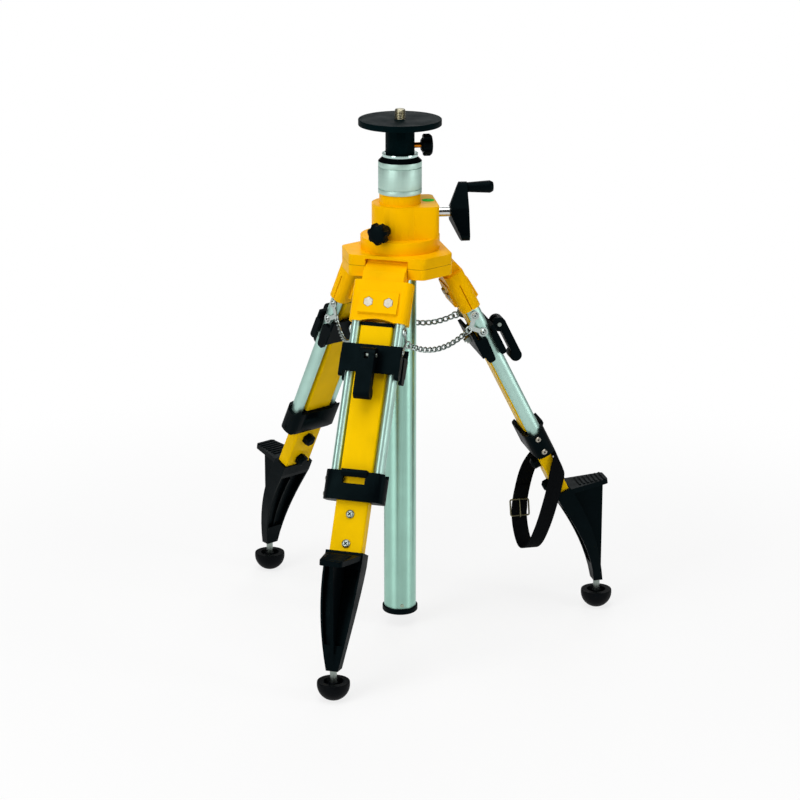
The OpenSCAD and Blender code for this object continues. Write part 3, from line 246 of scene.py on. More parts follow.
def rubber(name, hex_colour):
    """Black rubber with a pale bloom, duller where it is paler."""
    s = Shader(name, Specular_IOR_Level=0.05)
    bloom = s.noise(RUBBER_BLOOM, 5.0)
    s.tones(bloom, hex_colour, (0.35, 1.0), (0.75, 2.0))
    s.polish(bloom, 0.45, 0.62)
    s.bump(s.noise(RUBBER_GRAIN, 2.0), 0.00003)


def webbing(name, hex_colour):
    """Webbing with a herringbone weave, drawn on the strap's flat map in millimetres."""
    s = Shader(name, Specular_IOR_Level=0.04, Roughness=0.75)
    flat = s.add("ShaderNodeUVMap")
    flat.uv_map = FLAT_MAP
    parts = s.add("ShaderNodeSeparateXYZ", Vector=flat.outputs["UV"]).outputs
    slant = s.math("ADD", parts["X"], s.math("PINGPONG", parts["Y"], WEAVE_STRIPE))
    yarn = s.math("SINE", s.math("MULTIPLY", slant, 2 * math.pi / WEAVE_PITCH))
    height = s.math("MULTIPLY_ADD", yarn, 0.5, 0.5)
    s.tones(height, hex_colour, (0.1, 1.0), (0.9, 3.0))
    s.bump(height, 0.00025)


paint("yellow_paint", "FBBC00", grain=700.0, depth=0.00006, gloss=0.4)
paint("yellow_paint_tube", "F2C200", grain=900.0, depth=0.00002, gloss=0.34)
paint("vial", "14D81E", grain=300.0, depth=0.00001, gloss=0.4, specular=0.012, tint=GREEN_TINT)
paint("bubble", "6CDC58", grain=300.0, depth=0.00001, gloss=0.3, specular=0.02, tint=GREEN_TINT)
metal("satin_aluminium", "A0CCBD", 0.36, drawn=(900.0, 900.0, 6.0), axis=(0.0, 0.0, 1.0))
metal("turned_aluminium", "B4D0C6", 0.52, drawn=(14.0, 14.0, 1100.0), depth=0.00003)
metal("polished_aluminium", "B4CBC6", 0.16)
metal("steel", "C9CCCB", 0.16)
metal("screw_steel", "8C9690", 0.34)
metal("chain_steel", "8F9A96", 0.24)
metal("buckle_steel", "77735A", 0.34)
metal("zinc_steel", "B4BFBB", 0.3)
metal("dull_zinc", "A8A498", 0.4)
metal("bronze", "B08040", 0.4)
metal("brass", "A9A48C", 0.3)
metal("orange_brass", "D07A1E", 0.3)
moulded("black_metal", "030608", grain=900.0, depth=0.00003, gloss=0.4, specular=0.08)
moulded("black_aluminium", "020C0E", grain=1300.0, depth=0.00002, gloss=0.5, specular=0.015)
moulded("black_plastic", "020406", grain=1100.0, depth=0.00004, gloss=0.45, specular=0.045)
rubber("rubber", "040608")
webbing("webbing", "040506")
for n in LEGS:
    along_leg = LEG_FRAMES[n].to_3x3().inverted().to_euler("XYZ")
    metal(f"leg_{n}_tubes", "B2D4CA", 0.46, drawn=(260.0, 260.0, 3.0), turn=along_leg,
          depth=0.000002)


def coat(piece, material):
    piece.data.materials.clear()
    piece.data.materials.append(MATERIALS[material])


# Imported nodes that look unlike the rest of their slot
OWN_COATS = {"guide_collar": "turned_aluminium", "column_plug": "polished_aluminium",
             "platform_knob_screw": "orange_brass"}
OWN_COATS.update({f"leg_{n}_inner_fasteners": "screw_steel" for n in LEGS})
for name, node in NODES.items():
    coat(node, OWN_COATS.get(name, SLOTS[name]))


# Rounded edges of castings, mouldings and turned pieces, in millimetres
SOFT_EDGES = {
    "top_plate": 1.6, "bottom_plate": 1.6, "gear_housing": 1.4, "guide_collar": 0.5,
    "column_plug": 0.4, "column_cap": 0.8, "crank_arm": 1.6, "crank_grip": 1.0,
    "platform_plate": 0.4, "platform_hub": 0.6, "platform_knob": 0.8, "lock_knob": 0.8,
}
LEG_SOFT_EDGES = {"bracket": 1.6, "clamp_plates": 1.6, "clamp_lever": 1.9, "foot": 0.8,
                  "ball_foot": 1.2, "inner_fasteners": 0.3}
COLLAR_SOFT_EDGE = 1.0
FASTENER_SOFT_EDGE = 0.3
SAME_POINT = 0.01
FLAT_ANGLE = math.radians(0.5)
EDGE_ANGLE = math.radians(38.0)
EDGE_SEGMENTS = 3


def soften(piece, width):
    """Merge the facets of flat faces, then round every sharp edge."""
    piece.modifiers.new("weld", "WELD").merge_threshold = SAME_POINT * MM
    flat = piece.modifiers.new("flat", "DECIMATE")
    flat.decimate_type = "DISSOLVE"
    flat.angle_limit = FLAT_ANGLE
    edge = piece.modifiers.new("edge", "BEVEL")
    edge.width = width * MM
    edge.segments = EDGE_SEGMENTS
    edge.limit_method = "ANGLE"
    edge.angle_limit = EDGE_ANGLE
    edge.harden_normals = True


for name, width in SOFT_EDGES.items():
    soften(NODES[name], width)
for n in LEGS:
    for name, width in LEG_SOFT_EDGES.items():
        soften(NODES[f"leg_{n}_{name}"], width)


# Mesh helpers. SHARP is in degrees, and TIP is the radius that closes a turned form
SHARP = 35.0
TIP = 0.05


def add_object(name, data):
    thing = bpy.data.objects.new(name, data)
    bpy.context.scene.collection.objects.link(thing)
    return thing


def add_piece(mesh, slot, body=None, sharp=SHARP):
    """A new object around a finished mesh, with the mesh's name."""
    mesh.shade_smooth()
    mesh.set_sharp_from_angle(angle=math.radians(sharp))
    mesh.materials.append(MATERIALS[slot])
    piece = add_object(mesh.name, mesh)
    if body:
        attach(piece, body)
    return piece


def angles(count):
    """Equal steps around a circle."""
    return [2 * math.pi * k / count for k in range(count)]


def rounded(half_x, half_y, corner, steps):
    """Outline of a rectangle with round corners, about its middle."""
    outline = []
    for quarter, (x, y) in enumerate(((1, 1), (-1, 1), (-1, -1), (1, -1))):
        for k in range(steps + 1):
            a = math.pi / 2 * (quarter + k / steps)
            outline.append((x * (half_x - corner) + corner * math.cos(a),
                            y * (half_y - corner) + corner * math.sin(a)))
    return outline


class Shape:
    """Points and faces of one piece, in metres in the part's frame, and their flat map in mm."""

    def __init__(self):
        self.points = []
        self.faces = []
        self.flat = []

    def face(self, corners, flat=None):
        self.faces.append(corners)
        self.flat.extend(flat or [(0.0, 0.0)] * len(corners))

    def rings(self, rings, loop=False):
        """Skin over closed rings of points. loop joins the ends, which are closed otherwise."""
        first, count = len(self.points), len(rings[0])
        along, across = [0.0], [0.0]
        for a, b in zip(rings, rings[1:] + rings[:1]):
            along.append(along[-1] + (Vector(b[0]) - Vector(a[0])).length / MM)
        for a, b in zip(rings[0], rings[0][1:] + rings[0][:1]):
            across.append(across[-1] + (Vector(b) - Vector(a)).length / MM)
        for ring in rings:
            self.points.extend(tuple(p) for p in ring)
        for i in range(len(rings) if loop else len(rings) - 1):
            low, high = first + i * count, first + (i + 1) % len(rings) * count
            for j in range(count):
                k = (j + 1) % count
                self.face((low + j, low + k, high + k, high + j),
                          [(along[i], across[j]), (along[i], across[j + 1]),
                           (along[i + 1], across[j + 1]), (along[i + 1], across[j])])
        if not loop:
            last = first + (len(rings) - 1) * count
            self.face(tuple(reversed(range(first, first + count))))
            self.face(tuple(range(last, last + count)))

    def lathe(self, profile, place, sides=48):
        """Turned form from (radius, height) pairs in millimetres, about the Z axis of a place."""
        self.rings([[place @ (MM * Vector((r * math.cos(a), r * math.sin(a), z)))
                     for a in angles(sides)] for r, z in profile])

    def tube(self, path, radius, sides=8, loop=False):
        """Round wire along points, in metres."""
        rings = []
        count = len(path)
        side = None
        for i, p in enumerate(path):
            back = path[i - 1] if loop or i else p
            ahead = path[(i + 1) % count] if loop or i < count - 1 else p
            d = (ahead - back).normalized()
            side = d.orthogonal() if side is None else side - d * side.dot(d)
            side.normalize()
            up = d.cross(side)
            rings.append([p + radius * (math.cos(a) * side + math.sin(a) * up)
                          for a in angles(sides)])
        self.rings(rings, loop=loop)

    def piece(self, name, slot, body=None, sharp=SHARP):
        mesh = bpy.data.meshes.new(name)
        mesh.from_pydata(self.points, [], self.faces)
        layer = mesh.uv_layers.new(name=FLAT_MAP)
        for corner, place in zip(layer.data, self.flat):
            corner.uv = place
        return add_piece(mesh, slot, body, sharp)


def of_kind(geometry, kind):
    return [element for element in geometry if isinstance(element, kind)]


# Black strip in the joint between the two head plates, set back from their outline: painted shade that darkens the
# groove between them
JOINT_SHADE_BACK = 0.35
JOINT_SHADE_THICK = 1.6


def in_order(shape):
    """Points and faces of a mesh in an order that is the same in each run."""
    vertices = sorted(shape.verts, key=lambda v: v.co[:])
    number = {vertex: i for i, vertex in enumerate(vertices)}
    faces = []
    for face in shape.faces:
        corners = [number[vertex] for vertex in face.verts]
        first = corners.index(min(corners))
        faces.append(corners[first:] + corners[:first])
    return [vertex.co[:] for vertex in vertices], sorted(faces)


def make_joint_shade():
    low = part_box("top_plate")[0].z
    shape = bmesh.new()
    shape.from_mesh(NODES["top_plate"].data)
    bmesh.ops.remove_doubles(shape, verts=shape.verts, dist=SAME_POINT * MM)
    above = [f for f in shape.faces if any(v.co.z > low + SAME_POINT * MM for v in f.verts)]
    bmesh.ops.delete(shape, geom=above, context="FACES")
    rim = bmesh.ops.inset_region(shape, faces=shape.faces[:], thickness=JOINT_SHADE_BACK * MM,
                                 use_boundary=True, use_even_offset=True)
    bmesh.ops.delete(shape, geom=rim["faces"], context="FACES")
    bmesh.ops.translate(shape, verts=shape.verts, vec=(0.0, 0.0, -JOINT_SHADE_THICK / 2 * MM))
    raised = bmesh.ops.extrude_face_region(shape, geom=shape.faces[:])
    bmesh.ops.translate(shape, verts=of_kind(raised["geom"], bmesh.types.BMVert),
                        vec=(0.0, 0.0, JOINT_SHADE_THICK * MM))
    bmesh.ops.recalc_face_normals(shape, faces=shape.faces)
    points, faces = in_order(shape)
    shape.free()
    # The black strip is painted shade in the groove between the plates
    mesh = bpy.data.meshes.new("plate_joint_shade")
    mesh.from_pydata(points, [], faces)
    add_piece(mesh, "black_plastic", "head")


make_joint_shade()


# Lower collars: a plain band with a short catch over its window, riveted on one side of the leg.
# COLLAR_BACK and COLLAR_FRONT are places on the sloping top of the band, across and up the leg
COLLAR_BACK = (-7.0, -303.95)
COLLAR_FRONT = (31.0, -302.0)
COLLAR_INSIDE = 24.5
COLLAR_ACROSS = (-7.0, 27.0)
COLLAR_HALF_WIDTH = 45.0
COLLAR_CORNER = 8.0
COLLAR_ROUND = 14.0
RIVET_ACROSS = 10.0
RIVETS_DOWN = (316.0, 338.0)
RIVET_HOLE = 2.7
CUT_NEAR = 0.001


def leg_copy(n, part):
    """The mesh of a leg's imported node, in leg coordinates and millimetres."""
    shape = bmesh.new()
    shape.from_mesh(NODES[f"leg_{n}_{part}"].data)
    to_leg = Matrix.Scale(1 / MM, 4) @ LEG_FRAMES[n].inverted()
    bmesh.ops.transform(shape, matrix=to_leg, verts=shape.verts)
    bmesh.ops.remove_doubles(shape, verts=shape.verts, dist=SAME_POINT)
    return shape


def leg_piece(shape, n, part, name, slot):
    """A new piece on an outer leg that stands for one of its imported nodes."""
    bmesh.ops.transform(shape, matrix=LEG_FRAMES[n] @ Matrix.Scale(MM, 4), verts=shape.verts)
    bmesh.ops.recalc_face_normals(shape, faces=shape.faces)
    mesh = bpy.data.meshes.new(name)
    shape.to_mesh(mesh)
    shape.free()
    piece = add_piece(mesh, slot, f"leg_{n}")
    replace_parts(piece, f"leg_{n}_{part}")
    return piece


def cut(shape, point, normal, clear=False):
    """Cut all faces along a plane, and clear what lies beyond it if asked."""
    geometry = shape.verts[:] + shape.edges[:] + shape.faces[:]
    return bmesh.ops.bisect_plane(shape, geom=geometry, dist=CUT_NEAR, plane_co=point,
                                  plane_no=normal, clear_outer=clear)


def in_rivet_hole(face):
    return any(all(v.co.y > COLLAR_INSIDE
                   and math.hypot(v.co.x - RIVET_ACROSS, v.co.z + down) < RIVET_HOLE
                   for v in face.verts) for down in RIVETS_DOWN)


def round_corners(shape):
    """Draw the corners of a collar in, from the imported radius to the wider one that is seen."""
    across = (COLLAR_ACROSS[0] + COLLAR_ROUND, COLLAR_ACROSS[1] - COLLAR_ROUND)
    side = COLLAR_HALF_WIDTH - COLLAR_ROUND
    for x in across:
        cut(shape, (x, 0.0, 0.0), (1.0, 0.0, 0.0))
    for y in (-side, side):
        cut(shape, (0.0, y, 0.0), (0.0, 1.0, 0.0))
    step = COLLAR_ROUND - COLLAR_CORNER
    for vertex in shape.verts:
        x = max(across[0] - vertex.co.x, vertex.co.x - across[1])
        y = abs(vertex.co.y) - side
        if x <= 0.0 or y <= 0.0:
            continue
        length = math.hypot(x, y)
        lean = (x + y) / length
        if min(x, y) / max(x, y) * COLLAR_ROUND <= step:
            edge = COLLAR_ROUND * length / max(x, y)
        else:
            root = math.sqrt((step * lean) ** 2 - 2 * step ** 2 + COLLAR_CORNER ** 2)
            edge = step * lean + root
        centre = Vector((across[0] if vertex.co.x < across[0] else across[1],
                         math.copysign(side, vertex.co.y), vertex.co.z))
        vertex.co = centre + (vertex.co - centre) * (COLLAR_ROUND / edge)


def make_collar(n):
    shape = leg_copy(n, "lower_collar")
    rise = (COLLAR_FRONT[1] - COLLAR_BACK[1]) / (COLLAR_FRONT[0] - COLLAR_BACK[0])
    top = cut(shape, (COLLAR_BACK[0], 0.0, COLLAR_BACK[1]), (-rise, 0.0, 1.0), clear=True)
    bmesh.ops.holes_fill(shape, edges=of_kind(top["geom_cut"], bmesh.types.BMEdge))
    bmesh.ops.delete(shape, geom=[f for f in shape.faces if in_rivet_hole(f)], context="FACES")
    bmesh.ops.holes_fill(shape, edges=[e for e in shape.edges if e.is_boundary])
    round_corners(shape)
    piece = leg_piece(shape, n, "lower_collar", f"collar_{n}", "black_plastic")
    soften(piece, COLLAR_SOFT_EDGE)


def islands(shape):
    """Groups of points that edges join."""
    left = set(shape.verts)
    while left:
        group, open_points = set(), [left.pop()]
        while open_points:
            point = open_points.pop()
            group.add(point)
            for edge in point.link_edges:
                other = edge.other_vert(point)
                if other in left:
                    left.remove(other)
                    open_points.append(other)
        yield group


def make_fasteners(n):
    """The bracket's bolts and nuts, and the rivets of one side of the collar."""
    shape = leg_copy(n, "outer_fasteners")
    for group in list(islands(shape)):
        middle = sum((v.co for v in group), Vector()) / len(group)
        if middle.y > COLLAR_INSIDE and middle.z < -RIVETS_DOWN[0] + RIVET_HOLE:
            bmesh.ops.delete(shape, geom=list(group), context="VERTS")
    piece = leg_piece(shape, n, "outer_fasteners", f"bolts_and_rivets_{n}", "zinc_steel")
    coat(piece, "dull_zinc")
    soften(piece, FASTENER_SOFT_EDGE)


for n in LEGS:
    make_collar(n)
    make_fasteners(n)


# Upper tubes: oval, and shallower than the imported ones, so that the inner leg's back shows
TUBE_ACROSS = (1.5, 22.5)
TUBE_SIDE = (25.0, 39.0)
TUBE_DOWN = (34.0, 340.0)
TUBE_POINTS = 48
TUBE_SHARP = 50.0


def make_tubes(n):
    across, side = sum(TUBE_ACROSS) / 2, sum(TUBE_SIDE) / 2
    half_across, half_side = ((high - low) / 2 for low, high in (TUBE_ACROSS, TUBE_SIDE))
    shape = Shape()
    for hand in (1, -1):
        section = [(across + half_across * math.cos(a), hand * side + half_side * math.sin(a))
                   for a in angles(TUBE_POINTS)]
        shape.rings([[leg_point(n, (x, y, -down)) for x, y in section] for down in TUBE_DOWN])
    slot = SLOTS[f"leg_{n}_outer_tubes"]
    piece = shape.piece(f"tubes_{n}", slot, f"leg_{n}", sharp=TUBE_SHARP)
    coat(piece, f"leg_{n}_tubes")
    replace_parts(piece, f"leg_{n}_outer_tubes")


# Black crosses on the heads of the foot's screws: painted shade that stands in for their cross recesses
SCREWS_DOWN = (364.69, 406.69)
SCREW_TOP = 23.5
CROSS_LONG = 2.9
CROSS_WIDE = 0.75
CROSS_DEEP = 1.5


def make_cross_shade(n):
    a, b = CROSS_LONG, CROSS_WIDE
    outline = [(a, -b), (a, b), (b, b), (b, a), (-b, a), (-b, b),
               (-a, b), (-a, -b), (-b, -b), (-b, -a), (b, -a), (b, -b)]
    turned = [((x - y) * math.sqrt(0.5), (x + y) * math.sqrt(0.5)) for x, y in outline]
    shape = Shape()
    for down in SCREWS_DOWN:
        shape.rings([[leg_point(n, (x, y, z - down)) for y, z in turned]
                     for x in (SCREW_TOP - CROSS_DEEP, SCREW_TOP)])
    # The black cross is painted shade standing in for the screw's cross recess
    shape.piece(f"screw_cross_shade_{n}", "black_metal", f"inner_leg_{n}")


# Black slabs above the top ends of the inner legs, filling the gap under the brackets: painted shade that darkens
# that gap
PAD_MIDDLE = 10.0
PAD_HALF_DEPTH = 9.5
PAD_HALF_WIDTH = 23.5
PAD_DOWN = (88.3, 91.6)
PAD_CORNER = 2.5
PAD_STEPS = 5


def make_gap_shade(n):
    section = rounded(PAD_HALF_DEPTH, PAD_HALF_WIDTH, PAD_CORNER, PAD_STEPS)
    shape = Shape()
    shape.rings([[leg_point(n, (PAD_MIDDLE + x, y, -down)) for x, y in section]
                 for down in PAD_DOWN])
    # The black slab is painted shade in the gap between the bracket and the inner leg
    shape.piece(f"gap_shade_{n}", "black_plastic", f"inner_leg_{n}")


for n in LEGS:
    make_tubes(n)
    make_cross_shade(n)
    make_gap_shade(n)


# Spreader chains: curb links, each twisted by a quarter turn between its two ends
EYE = Vector((-7.51, 41.93, -112.0))
CHAIN_SAG = 17.0
CHAIN_STEPS = 64
CHAIN_LINKS = 13
CHAIN_WIRE = 2.6
CHAIN_WIDTH = 3.2
CHAIN_LAP = 2.9
CHAIN_LEAD = 1.9
LINK_STEPS = 20
LINK_TWIST = math.pi / 4


def chain_route(n):
    """Points of the hanging curve between the eyes of two neighbouring legs."""
    a = leg_point(n, EYE)
    b = leg_point(next_leg(n), (EYE.x, -EYE.y, EYE.z))
    drop = Vector((0.0, 0.0, 4 * CHAIN_SAG * MM))
    shares = [k / CHAIN_STEPS for k in range(CHAIN_STEPS + 1)]
    return [a.lerp(b, u) - drop * u * (1 - u) for u in shares]


def walk(route, distance):
    """Place and direction at a distance along a route."""
    for a, b in zip(route, route[1:]):
        step = (b - a).length
        if distance <= step:
            break
        distance -= step
    return a + (b - a) * (distance / step), (b - a).normalized()


def add_link(shape, centre, along, half):
    up = along.cross(Vector((0.0, 0.0, 1.0))).normalized()
    side = along.cross(up)
    path = []
    for a in angles(LINK_STEPS):
        x = half * math.cos(a)
        y = CHAIN_WIDTH * math.sin(a)
        twist = LINK_TWIST * math.cos(a)
        outwards = math.cos(twist) * side + math.sin(twist) * up
        path.append(centre + MM * (x * along + y * outwards))
    shape.tube(path, CHAIN_WIRE / 2 * MM, loop=True)


def make_chain(n):
    """A chain in two halves, which meet at its middle."""
    route = chain_route(n)
    length = sum((b - a).length for a, b in zip(route, route[1:])) / MM
    half = (length - 2 * CHAIN_LEAD + (CHAIN_LINKS - 1) * CHAIN_LAP) / (2 * CHAIN_LINKS)
    middle = walk(route, length / 2 * MM)[0]
    split = CHAIN_LINKS // 2 + 1
    halves = {n: range(split), next_leg(n): range(split, CHAIN_LINKS)}
    made = []
    for leg, links in halves.items():
        shape = Shape()
        for i in links:
            centre, along = walk(route, (CHAIN_LEAD + half + i * (2 * half - CHAIN_LAP)) * MM)
            add_link(shape, centre, along, half)
        piece = shape.piece(f"chain_{n}_to_leg_{leg}", "zinc_steel")
        coat(piece, "chain_steel")
        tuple(middle)
        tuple(route[0] if leg == n else route[-1])
        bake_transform(piece)
        made.append(piece)
    return made


chain_pieces = [piece for n in LEGS for piece in make_chain(n)]
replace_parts(chain_pieces[0], "chains")


# Carrying strap on the first leg. Its route has places across, sideways and down the leg, in
# millimetres, and the lean of the strap's width there, in degrees
STRAP_WIDTH = 24.0
STRAP_THICK = 2.0
STRAP_EDGE = 0.7
STRAP_STEPS = 6
STRAP_FRONT = 23.75 + STRAP_THICK / 2
STRAP_SIDE = 24.3 + STRAP_THICK / 2
STRAP_BULGE = 0.5
SLOPE_STEP = 0.05
STRAP_ROUTE = [
    (STRAP_FRONT, 0, 360, 90),
    (STRAP_FRONT + STRAP_BULGE, -STRAP_SIDE - STRAP_BULGE, 366, 90),
    (10, -30, 390, 34),
    (-14, -31, 419, 26),
    (-41, -27, 450, 26),
    (-64, -16, 474, 26),
    (-75, 0, 478, 26),
    (-70, 12, 455, 26),
    (-56, 22, 426, 26),
    (-34, 28, 398, 26),
    (-13, 30, 377, 34),
    (8, 29, 366, 60),
    (STRAP_FRONT + STRAP_BULGE, STRAP_SIDE + STRAP_BULGE, 361, 90),
]


def strap_knot(at):
    """The route's four numbers at a place along it, on a smooth curve through its points."""
    i = math.floor(at)
    u = at - i
    p = [Vector(STRAP_ROUTE[(i + k) % len(STRAP_ROUTE)]) for k in (-1, 0, 1, 2)]
    return 0.5 * (2 * p[1] + (p[2] - p[0]) * u
                  + (2 * p[0] - 5 * p[1] + 4 * p[2] - p[3]) * u * u
                  + (3 * p[1] - p[0] - 3 * p[2] + p[3]) * u ** 3)


def strap_middle(at):
    across, side, down, _ = strap_knot(at)
    return Vector((across, side, -down))


def strap_at(at):
    """Middle, width direction and face direction of the strap, in leg coordinates."""
    lean = math.radians(strap_knot(at)[3])
    width = Vector((math.cos(lean), 0.0, -math.sin(lean)))
    along = strap_middle(at + SLOPE_STEP) - strap_middle(at - SLOPE_STEP)
    return strap_middle(at), width, along.cross(width).normalized()


def strap_section(w):
    """Outline across webbing with softened edges, from half its width."""
    h, e = STRAP_THICK / 2, STRAP_EDGE
    return [(w, e - h), (w, h - e), (w - e, h), (0, h), (e - w, h),
            (-w, h - e), (-w, e - h), (e - w, -h), (0, -h), (w - e, -h)]


def make_strap():
    rings = []
    for i in range(len(STRAP_ROUTE) * STRAP_STEPS):
        middle, width, face = strap_at(i / STRAP_STEPS)
        rings.append([leg_point(1, middle + a * width + b * face)
                      for a, b in strap_section(STRAP_WIDTH / 2)])
    shape = Shape()
    shape.rings(rings, loop=True)
    return shape.piece("carrying_strap", "webbing", "inner_leg_1")


# Loose end of the strap, lying against the inside of the loop and rising over the buckle's wire.
# TAIL is its start and end along the route, and the rise is placed as a share of its length
TAIL = (7.55, 8.95)
TAIL_RINGS = 14
TAIL_NARROWER = 0.6
TAIL_GAP = 0.1
RISE_AT = 0.32
RISE_HALF = 0.2
RISE_GAP = 0.2

# Wire buckle with its prong
BUCKLE_AT = 8.0
BUCKLE_WIRE = 2.6
BUCKLE_OPEN = (STRAP_WIDTH + 2.0, 22.0)
BUCKLE_CORNER = 2.7
BUCKLE_STEPS = 6
BUCKLE_GAP = 0.3
BUCKLE_SIDES = 12
PRONG_WIRE = 2.2
PRONG_GAP = 0.05
PRONG_CURL = 270.0
PRONG_STEPS = 10
PRONG_ARCH = 1.2
PRONG_PAST = 1.5


def make_tail():
    rings = []
    for i in range(TAIL_RINGS + 1):
        share = i / TAIL_RINGS
        middle, width, face = strap_at(TAIL[0] + (TAIL[1] - TAIL[0]) * share)
        rise = max(0.0, 1.0 - abs(share - RISE_AT) / RISE_HALF)
        smooth = rise * rise * (3 - 2 * rise)
        lift = STRAP_THICK + TAIL_GAP + (BUCKLE_WIRE + RISE_GAP) * smooth
        rings.append([leg_point(1, middle + a * width - (b + lift) * face)
                      for a, b in strap_section(STRAP_WIDTH / 2 - TAIL_NARROWER)])
    shape = Shape()
    shape.rings(rings)
    return shape.piece("strap_tail", "webbing", "inner_leg_1")


def make_buckle():
    middle, width, face = strap_at(BUCKLE_AT)
    place = Matrix((width, width.cross(face), -face)).transposed().to_4x4()
    place.translation = middle - (STRAP_THICK / 2 + BUCKLE_GAP + BUCKLE_WIRE / 2) * face
    half_x, half_y = (size / 2 + BUCKLE_WIRE / 2 for size in BUCKLE_OPEN)
    loop = [Vector((x, y, 0.0)) for x, y in rounded(half_x, half_y, BUCKLE_CORNER, BUCKLE_STEPS)]
    curl = (BUCKLE_WIRE + PRONG_WIRE) / 2 + PRONG_GAP
    turns = [math.radians(PRONG_CURL * (k / PRONG_STEPS - 1)) for k in range(PRONG_STEPS + 1)]
    prong = [Vector((0.0, curl * math.sin(a) - half_y, curl * math.cos(a))) for a in turns]
    prong += [Vector((0.0, 0.0, curl + PRONG_ARCH)), Vector((0.0, half_y + PRONG_PAST, curl))]
    shape = Shape()
    shape.tube([leg_point(1, place @ p) for p in loop], BUCKLE_WIRE / 2 * MM,
               sides=BUCKLE_SIDES, loop=True)
    shape.tube([leg_point(1, place @ p) for p in prong], PRONG_WIRE / 2 * MM, sides=BUCKLE_SIDES)
    return shape.piece("wire_buckle", "zinc_steel", "inner_leg_1")


strap = make_strap()
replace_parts(strap, "strap")
tail = make_tail()
buckle = make_buckle()
coat(buckle, "buckle_steel")
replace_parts(buckle, "strap_buckle")
for soft_piece in (strap, tail, buckle):
    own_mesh(soft_piece)


# Instrument screw with its real thread. The groove's half width is a share of the pitch
STUD_RADIUS = 7.9375
STUD_PITCH = 25.4 / 11
STUD_CHAMFER = 1.5
STUD_SUNK = 1.0
GROOVE_DEPTH = 1.25
GROOVE_HALF = 0.44
STUD_SIDES = 64
STUD_ROWS = 72
STUD_SHARP = 60.0


def make_stud():
    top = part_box("mount_stud")[1].z / MM
    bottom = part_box("platform_plate")[1].z / MM - STUD_SUNK
    rings = []
    for i in range(STUD_ROWS + 1):
        z = bottom + (top - bottom) * i / STUD_ROWS
        ring = []
        for k, a in enumerate(angles(STUD_SIDES)):
            turn = (z / STUD_PITCH - k / STUD_SIDES) % 1.0
            groove = max(0.0, 1.0 - abs(turn - 0.5) / GROOVE_HALF)
            r = min(STUD_RADIUS - GROOVE_DEPTH * groove, STUD_RADIUS - STUD_CHAMFER + (top - z))
            ring.append(MM * Vector((r * math.cos(a), r * math.sin(a), z)))
        rings.append(ring)
    shape = Shape()
    shape.rings(rings)
    return shape.piece("instrument_screw", "brass", "platform", sharp=STUD_SHARP)


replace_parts(make_stud(), "mount_stud")


# Round spirit level: green dome with a thin lip, a black ring and the bubble. Profiles hold the
# radius and the height from the dome's top, and the bubble's place is in metres
LEVEL_LIP = 1.2
LEVEL_LIP_EDGE = 0.3
LEVEL_LIFT = 0.02
LEVEL_DOME = 1.2
DOME_ANGLES = [math.radians(6 * k) for k in range(3, 15)]
RING_RADIUS = 3.6
RING_HEIGHT = -0.12
RING_WIRE = 0.13
RING_STEPS = 32
BUBBLE_AT = (0.0006, -0.0004, 0.0)
BUBBLE_PROFILE = [(2.2, -0.12), (2.1, -0.02), (1.6, 0.02), (0.8, 0.04), (TIP, 0.05)]
BUBBLE_SIDES = 24


def make_level():
    low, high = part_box("level_vial")
    middle = (low + high) / 2
    radius, depth = (high.x - low.x) / 2 / MM, (high.z - low.z) / MM
    rim, lip = radius + LEVEL_LIP, LEVEL_LIFT - LEVEL_DOME
    profile = [(radius, -depth), (radius, lip), (rim, lip), (rim, LEVEL_LIP_EDGE - LEVEL_DOME)]
    profile += [((rim - LEVEL_LIP_EDGE) * math.cos(a), LEVEL_DOME * (math.sin(a) - 1.0))
                for a in DOME_ANGLES]
    profile.append((TIP, 0.0))
    place = Matrix.Translation((middle.x, middle.y, high.z))
    shape = Shape()
    shape.lathe(profile, place)
    vial = shape.piece("level_dome", "vial", "head")
    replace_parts(vial, "level_vial")
    circle = [(RING_RADIUS * math.cos(a), RING_RADIUS * math.sin(a)) for a in angles(RING_STEPS)]
    ring = [place @ (MM * Vector((x, y, RING_HEIGHT))) for x, y in circle]
    shape = Shape()
    shape.tube(ring, RING_WIRE * MM, loop=True)
    shape.piece("level_ring", "black_plastic", "head")
    shape = Shape()
    shape.lathe(BUBBLE_PROFILE, place @ Matrix.Translation(BUBBLE_AT), sides=BUBBLE_SIDES)
    bubble = shape.piece("level_bubble", "vial", "head")
    coat(bubble, "bubble")


make_level()


# Set screw of the end stop, low on the column. Its height above the column's end is in metres
SET_SCREW_UP = 0.0056
SET_SCREW_PROFILE = [(2.4, -1.5), (2.4, 0.1), (2.1, 0.25), (1.3, 0.25), (1.1, -0.5), (TIP, -0.5)]
SMALL_SIDES = 32


def make_set_screw():
    low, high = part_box("column_tube")
    front = -(high.x - low.x) / 2
    place = Matrix(((1, 0, 0, 0), (0, 0, -1, front), (0, 1, 0, low.z + SET_SCREW_UP), (0, 0, 0, 1)))
    shape = Shape()
    shape.lathe(SET_SCREW_PROFILE, place, sides=SMALL_SIDES)
    shape.piece("set_screw", "brass", "column")


make_set_screw()


# Moulded bosses over the tops of the levelling studs, in the recesses of the feet
BOSS_RADIUS = 5.9
BOSS_LOW = 48.0
BOSS_TOP = 68.8
BOSS_PROFILE = [(BOSS_RADIUS, BOSS_LOW), (BOSS_RADIUS, BOSS_TOP - 1.2),
                (BOSS_RADIUS - 0.5, BOSS_TOP - 0.4), (BOSS_RADIUS - 1.4, BOSS_TOP), (TIP, BOSS_TOP)]


def make_boss(n):
    low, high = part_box(f"leg_{n}_ball_foot")
    place = Matrix.Translation(((low.x + high.x) / 2, (low.y + high.y) / 2, 0.0))
    shape = Shape()
    shape.lathe(BOSS_PROFILE, place, sides=SMALL_SIDES)
    shape.piece(f"stud_boss_{n}", "black_plastic", f"inner_leg_{n}")


for n in LEGS:
    make_boss(n)


